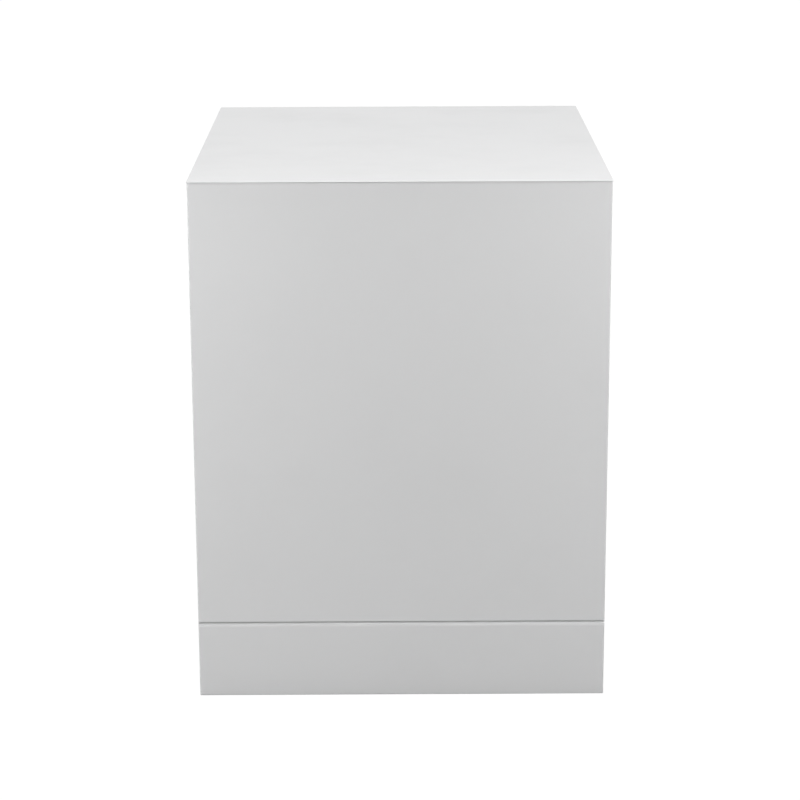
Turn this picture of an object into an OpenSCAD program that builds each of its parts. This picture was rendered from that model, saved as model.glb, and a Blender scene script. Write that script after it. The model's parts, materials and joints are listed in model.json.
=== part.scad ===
// Compact refrigerator with a handleless overlay door, a folded steel cap and a kick plinth.
// Millimetres. X is to the right as seen from the front, Y runs to the rear and Z is up.
// The origin is on the floor, under the middle of the cabinet.

/* [Overall size] */
// Overall width, over the cap, the door and the plinth
fridge_w = 480; // [460:5:520]
// Overall depth, from the door's face to the rear edge of the cap
fridge_d = 576; // [560:2:620]
// Overall height above the floor
fridge_h = 620; // [615:5:680]

/* [Outer skins] */
// Thickness of the painted steel of the sides, the door and the plinth
sheet_t = 0.8; // [0.6:0.1:1]
// Thickness of the cap's steel, which is doubled in its hem
cap_t = 0.7; // [0.6:0.1:0.9]
// Width of the hem folded under the cap's front edge
hem_w = 12; // [8:1:18]
// How far the cap's front edge reaches past the faces of the door and the plinth
cap_nose = 2; // [0:0.5:4]
// Depth of the flange folded down round the cap's sides and rear
cap_flange = 14; // [8:1:22]
// Outside radius of the folded upright edges of the door and the plinth
edge_r = 2; // [1.4:0.2:3.4]
// Outside radius of the fold between the plinth's face and its top ledge
plinth_r = 5; // [2:0.5:8]
// Outside radius of the fold along the plinth's lower edge
plinth_low_r = 1.5; // [1:0.5:2]
// Height of the plinth's top ledge above the floor
plinth_h = 92.5; // [88:0.5:100]
// Clearance between the plinth's lower edge and the floor
plinth_lift = 1; // [1:1:8]
// Width of the return folded back along the plinth's lower edge
plinth_return = 12; // [8:1:18]
// Width of the steel face that the door seals on, at each side of the mouth
seal_face = 26; // [24:0.5:27]
// Bend radius inside the folded frame and panel profiles
bend_r = 0.6; // [0.4:0.1:0.9]

/* [Insulated walls] */
// Thickness of each side wall, from the outer face to the liner's inner face
side_wall = 35; // [34:1:42]
// Thickness of the roof, from the cap's top to the liner's inner face
roof_wall = 45; // [43:1:52]
// Thickness of the floor, from the plinth's ledge to the liner's inner face
floor_wall = 41; // [38:1:44]
// Thickness of the rear wall, from the back panel to the liner's inner face
rear_wall = 45; // [38:1:55]
// Thickness of the insulated step over the machine bay
bay_wall = 35; // [30:1:40]
// Wall of the vacuum-formed liners of the cabinet and the door
liner_t = 1.6; // [1.2:0.1:2]
// Corner radius inside the food compartment
liner_r = 16; // [10:1:24]
// Clearance between the foam and every skin round it
foam_gap = 0.2; // [0.1:0.05:0.4]

/* [Machine bay] */
// Space behind the back panel for the condenser, under the cap's overhang
condenser_space = 30; // [26:1:40]
// Depth of the machine bay, forward from the back panel
bay_depth = 150; // [146:1:165]
// Height of the machine bay's ceiling above the floor
bay_h = 205; // [198:1:215]
// Outside radius of the compressor's two half-round ends
compressor_r = 52; // [46:1:54]
// Distance between the centres of the compressor's round ends
compressor_l = 46; // [30:1:60]
// Height of the compressor's shell
compressor_h = 122; // [105:1:126]
// Distance from the right base rail to the middle of the compressor
compressor_inset = 154; // [150:1:170]
// Outside radius of the condenser's tube
tube_r = 2.4; // [2:0.1:3]
// Distance between neighbouring runs of the condenser's tube
tube_pitch = 38; // [36:1:44]
// Radius of the condenser's upright wires
wire_r = 0.8; // [0.6:0.1:1]
// Distance between neighbouring wires
wire_pitch = 11; // [10:1:20]

/* [Base] */
// Thickness of the frame's rails and crossmembers
frame_t = 1.2; // [1:0.1:1.5]
// Width of the base rails' flanges
rail_flange = 34; // [30:1:40]
// Height of the base rails' underside above the floor
rail_lift = 22; // [20:1:28]
// Radius of the feet's threaded studs
stud_r = 4; // [3:0.5:5]
// How far a front foot screws out
foot_travel = 12; // [8:1:16]
// Radius of the feet's pads
foot_r = 15; // [12:1:17]

/* [Door] */
// Thickness of the door, without its seal
door_t = 45; // [42:1:50]
// Gap between the door's back and the cabinet's front, which the seal fills
seal_gap = 12; // [10:0.5:14]
// Gap between the plinth's ledge and the door's lower edge
door_gap = 1.5; // [1:0.5:4]
// Gap between the cap's hem and the door's upper edge
cap_gap = 0.5; // [0.4:0.1:2.6]
// Distance from the door's edges to the outside of the ridge on its liner
ridge_inset = 50; // [46:1:56]
// Width of the ridge on the door's liner
ridge_w = 25; // [20:1:30]
// Height of that ridge above the back of the door
ridge_h = 42; // [36:1:46]
// Width of the seal's foot
seal_w = 14; // [12:0.5:16]
// Distance from the door's edges to the seal's foot
seal_inset = 13; // [12.5:0.5:15]
// Height of the finger recess in the door's free edge
grip_h = 100; // [80:5:140]
// Depth of the finger recess into the door
grip_depth = 24; // [18:1:30]
// Height of the middle of the finger recess above the floor
grip_z = 430; // [380:5:480]

/* [Hinges] */
// Distance of the hinge pins from the door's side edge
pin_inset = 15; // [14:0.5:17]
// Distance of the hinge pins behind the door's face
pin_setback = 25; // [24:0.5:27]
// Radius of the hinge pins
pin_r = 3; // [2.5:0.5:4]
// Running clearance round the hinge pins and the other turning pins
pin_gap = 0.05; // [0.03:0.01:0.09]
// Length of the hinge pins inside the door
pin_l = 14; // [10:1:18]
// Thickness of the hinge brackets
bracket_t = 3; // [2.5:0.5:4]
// Half the width of a hinge bracket's rounded nose
nose_r = 9; // [8:0.5:10]

/* [Shelves and bins] */
// Thickness of the shelves' glass
glass_t = 4; // [3:0.5:5]
// Height of the lower shelf above the step over the machine bay
lower_shelf_h = 8; // [4:1:20]
// Height between the upper shelf and the drip tray's rim
upper_shelf_drop = 95; // [88:1:110]
// Distance from the cabinet's front to the shelves' front edge
shelf_setback = 86; // [84:1:100]
// How far the shelf runners stand out of the liner's side walls
runner_w = 8; // [6:0.5:10]
// Height of the shelf runners
runner_h = 8; // [6:0.5:10]
// Depth of the door's bins, from the back of the door
bin_depth = 90; // [70:1:92]
// Height of the upper bin's walls
upper_bin_h = 52; // [40:1:56]
// Height of the lower bin's walls
lower_bin_h = 70; // [50:1:84]
// Wall of the bins and the drip tray
tray_t = 2; // [1.6:0.2:2.6]

/* [Ice box] */
// Inside height of the ice box's front opening
ice_opening_h = 96; // [84:1:98]
// Distance from the cabinet's front to the front of the ice box
ice_setback = 136; // [132:1:150]
// Thickness of the ice box's aluminium wall
ice_wall = 1.5; // [1.2:0.1:2]
// Thickness of the ice box's flap
flap_t = 4; // [3:0.5:5]
// Radius of the flap's pins
flap_pin_r = 2; // [1.5:0.25:2.5]
// Height of the drip tray
tray_h = 14; // [10:1:16]

/* [Thermostat] */
// Radius of the thermostat's knob
knob_r = 17; // [13:1:19]
// How far the knob stands out of its housing
knob_h = 14; // [10:1:18]
// Radius of the thermostat's shaft
shaft_r = 3; // [2.5:0.5:3.5]
// How far the housing stands out of the side wall
housing_h = 32; // [30:1:38]

/* [Hidden] */
$fn = 48;

// Clearances: a snug fit between rigid pieces, a visible seam, and a seat where two pieces meet
fit = 0.1;
seam = 0.4;
seat = 0.3;
// Overshoot of a cutter past the face that it cuts
over = 1;

// Planes from the front to the rear
front_y = -fridge_d / 2;
face_y = front_y + cap_nose;
rear_y = fridge_d / 2;
door_back_y = face_y + door_t;
case_y = door_back_y + seal_gap;
panel_y = rear_y - condenser_space;
cavity_back_y = panel_y - rear_wall;
bay_front_y = panel_y - bay_depth;

// Planes from the middle to the side: the outer face, and both faces of the side panels
half_w = fridge_w / 2;
skin_x = half_w - cap_t - fit;
inside_x = skin_x - sheet_t;
mouth_x = skin_x - seal_face;
cavity_x = half_w - side_wall;
rail_inner_x = inside_x - rail_flange;

// Levels from the floor to the top
cap_under_z = fridge_h - cap_t;
top_rail_z = cap_under_z - bracket_t;
door_low_z = plinth_h + door_gap;
door_high_z = fridge_h - 2 * cap_t - cap_gap;
cavity_low_z = plinth_h + floor_wall;
cavity_high_z = fridge_h - roof_wall;
lower_bracket_z = plinth_h - sheet_t - frame_t - bracket_t;
plate_z = rail_lift + frame_t;

// The liner's lip fills the mouth's ring inside the steel face, which is as wide all round
lip_w = mouth_x - cavity_x - seam;
lip_r = 1;
lip_low_z = cavity_low_z - lip_w;
lip_high_z = cavity_high_z + lip_w;

// The hinge axis
pin_x = half_w - pin_inset;
pin_y = face_y + pin_setback;

// Skins: the hem's end, the side panels' rear returns, and the back panel's ribs and screws
hem_back_y = case_y - seat;
side_hem_w = pin_inset - nose_r - seat;
side_return = 12;
return_front_y = panel_y - 2 * sheet_t;
rib_proud = 1.6;
rib_half = 5;
rib_margin = 40;
screw_r = 1.5;
screw_head_r = 3.6;
screw_head_h = 1.8;
back_screw_rows = 4;
back_screw_x = skin_x - sheet_t - side_return / 2;

// Top rail, crossmember and plinth
rail_hem = 3 * frame_t + 2 * bend_r;
rail_depth = 42;
rail_lip = 10;
crossmember_y = case_y + 2;
crossmember_low_z = 40;
plinth_rear_y = case_y - seat;
ledge_tongue = 22;
strap_x = 120;
strap_half = 11;
strap_low_z = 32;
strap_mid_z = 48;
strap_high_z = 72;

// Feet
foot_x = inside_x - rail_flange / 2;
front_foot_y = crossmember_y + 30;
rear_foot_y = panel_y - 26;
nut_r = 7.5;
nut_h = 6.5;
stud_top_z = rail_lift + frame_t + nut_h + foot_travel + 4;

// Hinge brackets, their screws, and the ends of the pins
washer_r = 7.5;
bracket_rear_y = case_y + 26;
bracket_l = 63;
bracket_left_x = mouth_x - bracket_l;
hinge_screw_y = case_y + 16;
sink_h = 1.6;
sink_r = 3.2;
lower_pin_top = door_low_z + pin_l;
upper_pin_low = top_rail_z - pin_l;

// Ice box: the moulded frame, the aluminium box behind it and the flap
ice_y = case_y + ice_setback;
frame_deep = 14;
frame_border = 13;
ice_high_z = cavity_high_z - 6;
ice_low_z = ice_high_z - 2 * frame_border - ice_opening_h;
ice_x = cavity_x - 8;
ice_opening_x = ice_x - frame_border;
box_x = ice_x - 5;
box_low_z = ice_low_z + 5;
box_high_z = ice_high_z - 5;
box_front_y = ice_y + frame_deep;
box_rear_y = cavity_back_y - 16;
box_r = 10;
channel_r = 3;
hanger_r = 5;
hanger_inset = 30;
flap_axis_z = ice_high_z - frame_border - 7;
flap_axis_y = ice_y + 4;
flap_x = ice_opening_x - 0.8;

// Drip tray, shelves and their runners
tray_rim_drop = 4;
tray_rim_z = ice_low_z - tray_rim_drop;
tray_x = cavity_x - 3;
tray_front_y = ice_y + 8;
runner_front_y = case_y + shelf_setback + 18;
runner_rear_y = cavity_back_y - 26;
lower_shelf_z = bay_h + bay_wall + lower_shelf_h;
upper_shelf_z = tray_rim_z - upper_shelf_drop;
spare_shelf_z = (lower_shelf_z + upper_shelf_z) / 2;
shelf_front_y = case_y + shelf_setback;
shelf_rear_y = cavity_back_y - 10;
shelf_x = cavity_x - 3;
trim_t = 3;
trim_deep = 14;
trim_stop_h = 20;

// Thermostat
housing_x = cavity_x - housing_h;
housing_y0 = ice_y + 25;
housing_l = 92;
housing_y1 = housing_y0 + housing_l;
housing_z0 = upper_shelf_z + glass_t + 8;
housing_z1 = tray_rim_z - tray_h - 2;
knob_y = housing_y0 + 34;
knob_z = (housing_z0 + housing_z1) / 2;
switch_half = [15, 14];
switch_l = 13;
skirt_h = knob_h * 0.3;
grip_r = knob_r * 0.84;
flute_r = 1.5;
flute_count = 18;

// Deck, cord gland and grommets
gland_x = -150;
gland_z = rail_lift + 22;
gland_r = 6.5;
plate_lip = 38;
plate_rear_y = panel_y - 6;
grommet_r = 11;
grommet_neck_r = 6;
grommet_h = 14;
grommet_waist = 3;
grommet_waist_z = 7;
grommet_lip = 2;

// Compressor and its two ports
compressor_x = rail_inner_x - compressor_inset;
compressor_y = (bay_front_y + panel_y) / 2 + 2;
foot_plate_t = 3;
compressor_low_z = plate_z + frame_t + grommet_h;
weld_proud = 4;
weld_h = 5;
port_r = 3.6;
port_l = 12;
port_levels = [compressor_low_z + 40, compressor_low_z + 88];
port_x = compressor_x + compressor_l / 2 + compressor_r;
port_seat = 2;
port_run = 34;

// Terminal box on the compressor's left end: how far it stands out and in, and its outline
terminal_out = 34;
terminal_in = 22;
terminal_w = 54;
terminal_h = 62;
terminal_lift = 22;

// Condenser
tube_y = panel_y + (condenser_space - cap_t) / 2;
tube_bend = tube_pitch / 2;
tube_high_z = fridge_h - cap_flange - 26;
tube_runs = 2 * floor((tube_high_z - bay_h - 12) / tube_pitch / 2) + 1;
tube_low_z = tube_high_z - (tube_runs - 1) * tube_pitch;
tube_x = half_w - 44;
riser_x = half_w - 16;
wire_low_z = tube_low_z - 10;
wire_high_z = tube_high_z + 10;
wire_count = floor((2 * tube_x - 2 * tube_bend - 8) / wire_pitch);
clip_h = 9;
clip_r = 3;
clip_half = wire_pitch / 2 - wire_r - seat;
clip_x = (floor(wire_count / 4) * 2 + (wire_count % 2 == 0 ? 0 : 1)) * wire_pitch / 2;

// Drier and capillary
drier_r = 9;
drier_l = 84;
drier_top_z = bay_h - 42;
drier_x = -rail_inner_x + 14;
drier_y = compressor_y + 20;
drier_rise = 24;
drier_socket = 6;
capillary_r = 1.2;
capillary_run = 60;
capillary_dip = 18;
line_inset = 30;
suction_run = 52;

// Door: the shell, its ends, the hinge's pocket and bushes, and the finger recess
liner_face_y = door_back_y - liner_t;
door_mid_z = (door_low_z + door_high_z) / 2;
door_h = door_high_z - door_low_z;
end_h = 12;
end_wall = 2.4;
pocket_z = top_rail_z - 1;
bush_r = 6;
grip_y0 = face_y + 6;
grip_y1 = grip_y0 + 29;
grip_z0 = grip_z - grip_h / 2;
grip_z1 = grip_z + grip_h / 2;

// Door: the seal's groove, the liner's ridge and its lugs
seal_mid = seal_inset + seal_w / 2;
seal_r = 10;
groove_half = 1.6;
groove_deep = 6;
ridge_x = half_w - ridge_inset;
ridge_clear = 5;
ridge_low_z = cavity_low_z + ridge_clear;
ridge_high_z = cavity_high_z - ridge_clear;
ridge_r = ridge_w + 8;
lug_r = 5;
lug_l = 5;
lug_y = door_back_y + 16;
lug_drop = 14;

// Door bins and the bottle rail
bin_x = ridge_x - ridge_w - 0.6;
bin_r = 14;
bin_rim = 4;
lower_bin_z = ridge_low_z + ridge_r + 2;
upper_bin_z = tray_rim_z - upper_bin_h + 8;
rail_wire_r = 2;
rail_z = lower_bin_z + 112;
rail_y = liner_face_y + liner_t + 24;

// ---------- shared shapes ----------

// Box between two opposite corners
module block(low, high) {
    translate(low) cube(high - low);
}

// Plane outlines drawn as (x, z), (y, z) or (x, y) and made solid between two planes
module along_y(y0, y1) {
    translate([0, y1, 0]) rotate([90, 0, 0]) linear_extrude(y1 - y0) children();
}

module along_x(x0, x1) {
    translate([x0, 0, 0]) rotate([90, 0, 90]) linear_extrude(x1 - x0) children();
}

module along_z(z0, z1) {
    translate([0, 0, z0]) linear_extrude(z1 - z0) children();
}

// Rectangle between two corners with four rounded corners
module round_rect(low, high, r) {
    translate([low.x + r, low.y]) square([high.x - low.x - 2 * r, high.y - low.y]);
    translate([low.x, low.y + r]) square([high.x - low.x, high.y - low.y - 2 * r]);
    for (x = [low.x + r, high.x - r], y = [low.y + r, high.y - r])
        translate([x, y]) circle(r);
}

function unit(v) = v / norm(v);
function turn_angle(a, b) = acos(max(-1, min(1, unit(a) * unit(b))));
function cross_z(a, b) = a.x * b.y - a.y * b.x;

// Profile of a folded sheet: straight flanges along a centre line, joined by true bends.
// The path holds the corners of the centre line and r is the radius inside each bend.
module folded(path, t, r) {
    mid_r = r + t / 2;
    last = len(path) - 1;
    trim = [for (i = [0 : last]) i == 0 || i == last ? 0
        : mid_r * tan(turn_angle(path[i] - path[i - 1], path[i + 1] - path[i]) / 2)];
    for (i = [0 : last - 1]) {
        run = path[i + 1] - path[i];
        translate(path[i]) rotate(atan2(run.y, run.x)) translate([trim[i], -t / 2])
            square([norm(run) - trim[i] - trim[i + 1], t]);
    }
    for (i = [1 : last - 1]) {
        before = unit(path[i] - path[i - 1]);
        after = unit(path[i + 1] - path[i]);
        side = sign(cross_z(before, after));
        start = side * [before.y, -before.x];
        end = side * [after.y, -after.x];
        translate(path[i] - before * trim[i] - start * mid_r) intersection() {
            difference() {
                circle(mid_r + t / 2);
                circle(mid_r - t / 2);
            }
            polygon([[0, 0], start * 4 * mid_r, (start + end) * 4 * mid_r, end * 4 * mid_r]);
        }
    }
}

// Profile swept round a rounded rectangle of width w and height h with corner radius r.
// The profile's x points outwards and its y becomes the height.
module ring_sweep(w, h, r) {
    for (s = [0, 1]) mirror([s, 0, 0]) translate([w / 2 - r, h / 2 - r, 0]) rotate([90, 0, 0])
        linear_extrude(h - 2 * r) translate([r, 0]) children();
    for (s = [0, 1]) mirror([0, s, 0]) translate([r - w / 2, h / 2 - r, 0]) rotate([90, 0, 90])
        linear_extrude(w - 2 * r) translate([r, 0]) children();
    for (s = [0, 1], t = [0, 1]) mirror([s, 0, 0]) mirror([0, t, 0])
        translate([w / 2 - r, h / 2 - r, 0]) rotate_extrude(angle = 90) translate([r, 0]) children();
}

// Matrix that places local x, y and z along three directions from a point
function placed(x, y, z, at) = [
    [x.x, y.x, z.x, at.x], [x.y, y.y, z.y, at.y], [x.z, y.z, z.z, at.z], [0, 0, 0, 1]];

// Round bar or tube bent to follow a path, with true straights and true bends
module bent_tube(path, r, bend) {
    last = len(path) - 1;
    trim = [for (i = [0 : last]) i == 0 || i == last ? 0
        : bend * tan(turn_angle(path[i] - path[i - 1], path[i + 1] - path[i]) / 2)];
    for (i = [0 : last - 1]) {
        run = path[i + 1] - path[i];
        way = unit(run);
        across = unit(cross(way, abs(way.z) > 0.9 ? [1, 0, 0] : [0, 0, 1]));
        straight = norm(run) - trim[i] - trim[i + 1];
        if (straight > 0.01)
            multmatrix(placed(across, cross(way, across), way, path[i] + way * trim[i]))
                cylinder(h = straight, r = r);
    }
    for (i = [1 : last - 1]) {
        before = unit(path[i] - path[i - 1]);
        after = unit(path[i + 1] - path[i]);
        inward = unit(after - before * (before * after));
        middle = path[i] - before * trim[i] + inward * bend;
        multmatrix(placed(-inward, before, cross(-inward, before), middle))
            rotate_extrude(angle = turn_angle(before, after)) translate([bend, 0]) circle(r);
    }
}

// ---------- outer skins ----------

module top_cap() color("gainsboro") {
    // Plate with a rounded front fold, doubled by the hem under its front edge
    along_x(-half_w, half_w) {
        translate([front_y + cap_t, cap_under_z]) circle(cap_t);
        translate([front_y + cap_t, cap_under_z]) square([rear_y - front_y - cap_t, cap_t]);
        translate([front_y + cap_t, fridge_h - 2 * cap_t]) square([hem_w - cap_t, cap_t]);
    }
    // Hems under the short side edges of the part that reaches over the door
    for (s = [0, 1]) mirror([s, 0, 0])
        block([half_w - side_hem_w, front_y + hem_w, fridge_h - 2 * cap_t],
            [half_w, hem_back_y, fridge_h]);
    // Flanges down the cabinet's sides and the cap's rear edge
    for (s = [0, 1]) mirror([s, 0, 0])
        block([half_w - cap_t, case_y + seat, fridge_h - cap_flange], [half_w, rear_y, fridge_h]);
    block([-half_w, rear_y - cap_t, fridge_h - cap_flange], [half_w, rear_y, fridge_h]);
}

// Room for the two hinge brackets' necks to pass the right side panel's front return
module hinge_neck_slots() {
    for (z = [lower_bracket_z, top_rail_z])
        block([pin_x - nose_r - seat, case_y - over, z - seat],
            [pin_x + nose_r + seat, case_y + sheet_t + over, z + bracket_t + seat]);
}

// The right side panel with its front and rear returns; the left one is its mirror image
module side_shell() difference() {
    mid_x = skin_x - sheet_t / 2;
    return_y = panel_y - sheet_t * 3 / 2;
    along_z(rail_lift, cap_under_z) folded([
        [mouth_x, case_y + sheet_t / 2], [mid_x, case_y + sheet_t / 2],
        [mid_x, return_y], [mid_x - side_return, return_y]], sheet_t, bend_r);
    back_screw_holes();
}

module side_panel_left() color("gainsboro") mirror([1, 0, 0]) side_shell();

module side_panel_right() color("gainsboro") difference() {
    side_shell();
    hinge_neck_slots();
}

// Back panel with upright pressed ribs at both sides of the condenser's clips
module back_panel() color("silver") difference() {
    union() {
        block([-inside_x, panel_y - sheet_t, bay_h], [inside_x, panel_y, cap_under_z]);
        for (x = [-1.5, -0.5, 0.5, 1.5] * clip_x)
            along_y(panel_y - sheet_t / 2, panel_y + rib_proud) round_rect(
                [x - rib_half, bay_h + rib_margin], [x + rib_half, cap_under_z - rib_margin],
                rib_half - 0.01);
    }
    back_screw_holes();
}

// Screws that hold the back panel to the side panels' rear returns
module at_back_screws() {
    low = bay_h + 20;
    high = fridge_h - cap_flange - 20;
    for (s = [-1, 1], i = [0 : back_screw_rows - 1])
        translate([s * back_screw_x, panel_y, low + (high - low) * i / (back_screw_rows - 1)])
            children();
}

module back_screw_holes() {
    at_back_screws() rotate([90, 0, 0]) translate([0, 0, -over])
        cylinder(h = 5 + over, r = screw_r + fit);
}

module panel_screws() color("dimgray") at_back_screws() {
    rotate([90, 0, 0]) cylinder(h = 4, r = screw_r);
    rotate([-90, 0, 0]) cylinder(h = screw_head_h, r1 = screw_head_r, r2 = screw_head_r * 0.7);
}

// One sheet folded into the mouth's lower face, the floor, and the step over the machine bay
module floor_pan() color("gainsboro") difference() {
    h = sheet_t / 2;
    along_x(-inside_x, inside_x) folded([
        [case_y + h, lip_low_z - seam], [case_y + h, plinth_h + h], [bay_front_y - h, plinth_h + h],
        [bay_front_y - h, bay_h - h], [return_front_y - seat, bay_h - h]], sheet_t, bend_r);
    for (s = [0, 1]) mirror([s, 0, 0])
        block([mouth_x - seam, case_y - over, 0], [half_w, case_y + sheet_t + seam, fridge_h]);
}

// ---------- frame ----------

// Closes the mouth's ring along the top, with a hem up to the cap and a flange for the hinge
module front_top_rail() color("gainsboro") difference() {
    h = frame_t / 2;
    along_x(-mouth_x + seam, mouth_x - seam) folded([
        [case_y + h, lip_high_z + seam], [case_y + h, cap_under_z - h],
        [case_y + rail_hem - h, cap_under_z - h], [case_y + rail_hem - h, top_rail_z - h],
        [case_y + rail_depth - h, top_rail_z - h], [case_y + rail_depth - h, top_rail_z - rail_lip]],
        frame_t, bend_r / 2);
    at_hinge_screws(top_rail_z) cylinder(h = 4 * frame_t, r = screw_r + fit, center = true);
}

// Channel between the base rails; it carries the lower hinge and the plinth's ledge
module front_crossmember() color("silver") difference() {
    h = frame_t / 2;
    along_x(-rail_inner_x + fit, rail_inner_x - fit) folded([
        [crossmember_y + 24, plinth_h - sheet_t - h], [crossmember_y + h, plinth_h - sheet_t - h],
        [crossmember_y + h, crossmember_low_z + h], [crossmember_y + 20, crossmember_low_z + h]],
        frame_t, bend_r);
    at_hinge_screws(plinth_h) cylinder(h = 4 * frame_t, r = screw_r + fit, center = true);
}

// C-shaped rail from the front to the rear; the left one is its mirror image
module base_rail() difference() {
    h = frame_t / 2;
    along_y(crossmember_y, return_front_y - bend_r - seat) folded([
        [rail_inner_x, rail_lift + h], [inside_x - h, rail_lift + h],
        [inside_x - h, plinth_h - h], [rail_inner_x, plinth_h - h]], frame_t, bend_r);
    for (y = [front_foot_y, rear_foot_y])
        translate([foot_x, y, rail_lift]) cylinder(h = 10, r = stud_r + seat, center = true);
}

module base_rail_right() color("silver") base_rail();
module base_rail_left() color("silver") mirror([1, 0, 0]) base_rail();

module at_grommets() {
    for (x = [-1, 1], y = [-1, 1])
        translate([compressor_x + x * (compressor_l / 2 + 40), compressor_y + y * 42, plate_z])
            children();
}

// Deck across the base rails, with a lip at the front and a taller one at the rear
module compressor_plate() color("silver") difference() {
    h = frame_t / 2;
    half = inside_x - frame_t - bend_r - seat;
    along_x(-half, half) folded([
        [bay_front_y + 4, plate_z + 12], [bay_front_y + 4, plate_z + h],
        [plate_rear_y, plate_z + h], [plate_rear_y, plate_z + plate_lip]], frame_t, bend_r);
    at_grommets() cylinder(h = 10, r = 5, center = true);
    translate([gland_x, plate_rear_y, gland_z]) rotate([90, 0, 0])
        cylinder(h = 10, r = gland_r + fit, center = true);
    for (s = [-1, 1]) translate([s * foot_x, rear_foot_y, plate_z])
        cylinder(h = 10, r = nut_r + 2, center = true);
}

// ---------- liner and foam ----------

// Solid that fills the food compartment, grown outwards by g from the liner's inner face
module compartment(g, front = case_y) {
    step_y = bay_front_y - bay_wall;
    step_z = bay_h + bay_wall;
    intersection() {
        along_y(front, cavity_back_y + g) round_rect(
            [-cavity_x - g, cavity_low_z - g], [cavity_x + g, cavity_high_z + g], liner_r + g);
        along_x(-half_w, half_w) difference() {
            round_rect([front - 2 * liner_r, cavity_low_z - g],
                [cavity_back_y + g, cavity_high_z + g], liner_r + g);
            round_rect([step_y + g, cavity_low_z - 4 * liner_r],
                [cavity_back_y + 4 * liner_r, step_z - g], liner_r - g);
        }
    }
}

// Runner pressed into a side wall, with a round nose and its top face at height z
module runner(z, y0, y1) {
    for (s = [0, 1]) mirror([s, 0, 0]) {
        along_x(cavity_x - runner_w, cavity_x + liner_t / 2)
            round_rect([y0, z - runner_h], [y1, z], min(runner_h, runner_w) / 2 - 0.01);
    }
}

module inner_liner() color("white") {
    difference() {
        union() {
            compartment(liner_t);
            along_y(case_y, case_y + liner_t) round_rect(
                [-cavity_x - lip_w, lip_low_z], [cavity_x + lip_w, lip_high_z], lip_r);
        }
        compartment(0, case_y - over);
    }
    for (z = [lower_shelf_z, spare_shelf_z, upper_shelf_z]) runner(z, runner_front_y, runner_rear_y);
    runner(tray_rim_z, ice_y + 20, runner_rear_y);
}

// Foam between the liner and the steel, with the machine bay and the top rail left out of it
module cabinet_insulation() color("lemonchiffon") difference() {
    g = foam_gap;
    block([-inside_x + g, case_y + liner_t + g, plinth_h + sheet_t + g],
        [inside_x - g, panel_y - sheet_t - g, cap_under_z - g]);
    compartment(liner_t + g, case_y - over);
    block([-half_w, bay_front_y - sheet_t - g, 0], [half_w, rear_y, bay_h + g]);
    block([-half_w, case_y, top_rail_z - 10 - g], [half_w, case_y + 43 + g, fridge_h]);
    for (s = [0, 1]) mirror([s, 0, 0]) {
        block([inside_x - side_return - g, panel_y - 2 * sheet_t - g, 0],
            [half_w, rear_y, fridge_h]);
    }
    at_back_screws() rotate([90, 0, 0]) cylinder(h = 8, r = screw_r + 2 * fit);
}

// ---------- plinth ----------

module plinth_form(g) intersection() {
    along_x(-half_w + g, half_w - g) {
        round_rect([face_y + g, plinth_h / 2], [0, plinth_h - g], plinth_r - g);
        round_rect([face_y + g, plinth_lift + g], [0, plinth_h / 2 + 2 * plinth_r],
            plinth_low_r - g);
    }
    along_z(0, plinth_h)
        round_rect([-half_w + g, face_y + g], [half_w - g, 0], edge_r - g);
}

module plinth_panel() color("gainsboro") difference() {
    union() {
        difference() {
            plinth_form(0);
            plinth_form(sheet_t);
            block([-half_w + sheet_t, face_y + plinth_return, 0],
                [half_w - sheet_t, over, plinth_h / 2]);
            block([-half_w - over, plinth_rear_y, -over], [half_w + over, over, plinth_h + over]);
        }
        // Tongue of the ledge that is clamped between the crossmember and the floor pan
        block([-rail_inner_x + seat, plinth_rear_y - over, plinth_h - sheet_t],
            [rail_inner_x - seat, crossmember_y + ledge_tongue, plinth_h]);
    }
    translate([pin_x, pin_y, plinth_h]) cylinder(h = 10, r = washer_r + 1.5, center = true);
}

// Z-shaped straps from the crossmember's face to the inside of the plinth
module plinth_brackets() color("silver") for (s = [-1, 1]) {
    h = frame_t / 2;
    front = face_y + sheet_t + h;
    along_x(s * strap_x - strap_half, s * strap_x + strap_half) folded([
        [front, strap_low_z], [front, strap_mid_z],
        [crossmember_y - h, strap_mid_z], [crossmember_y - h, strap_high_z]],
        frame_t, bend_r);
}

// ---------- hinges ----------

module at_hinge_screws(z) {
    for (x = [bracket_left_x + 14, mouth_x - 22]) translate([x, hinge_screw_y, z]) children();
}

// Plate with a nose that reaches forward to the pin, and holes that may be countersunk
module hinge_bracket(z, sunk) difference() {
    along_z(z, z + bracket_t) {
        translate([pin_x, pin_y]) circle(nose_r);
        translate([pin_x - nose_r, pin_y]) square([2 * nose_r, case_y - pin_y + nose_r]);
        round_rect([bracket_left_x, case_y + rail_hem + seat], [pin_x + nose_r, bracket_rear_y], 3);
    }
    at_hinge_screws(z) {
        translate([0, 0, -over]) cylinder(h = bracket_t + 2 * over, r = screw_r + fit);
        if (sunk) translate([0, 0, bracket_t - sink_h])
            cylinder(h = sink_h, r1 = screw_r + fit, r2 = sink_r);
    }
}

module upper_hinge_bracket() color("silver") hinge_bracket(top_rail_z, true);
module lower_hinge_bracket() color("silver") hinge_bracket(lower_bracket_z, false);

module hinge_pins() color("lightgray") {
    translate([pin_x, pin_y, lower_bracket_z + bracket_t])
        cylinder(h = lower_pin_top - lower_bracket_z - bracket_t, r = pin_r);
    translate([pin_x, pin_y, upper_pin_low]) cylinder(h = pin_l, r = pin_r);
}

module thrust_washer() color("ivory") translate([pin_x, pin_y, lower_bracket_z + bracket_t])
    difference() {
        h = door_low_z - lower_bracket_z - bracket_t - fit;
        cylinder(h = h, r = washer_r);
        translate([0, 0, -over]) cylinder(h = h + 2 * over, r = pin_r + pin_gap);
    }

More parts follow.
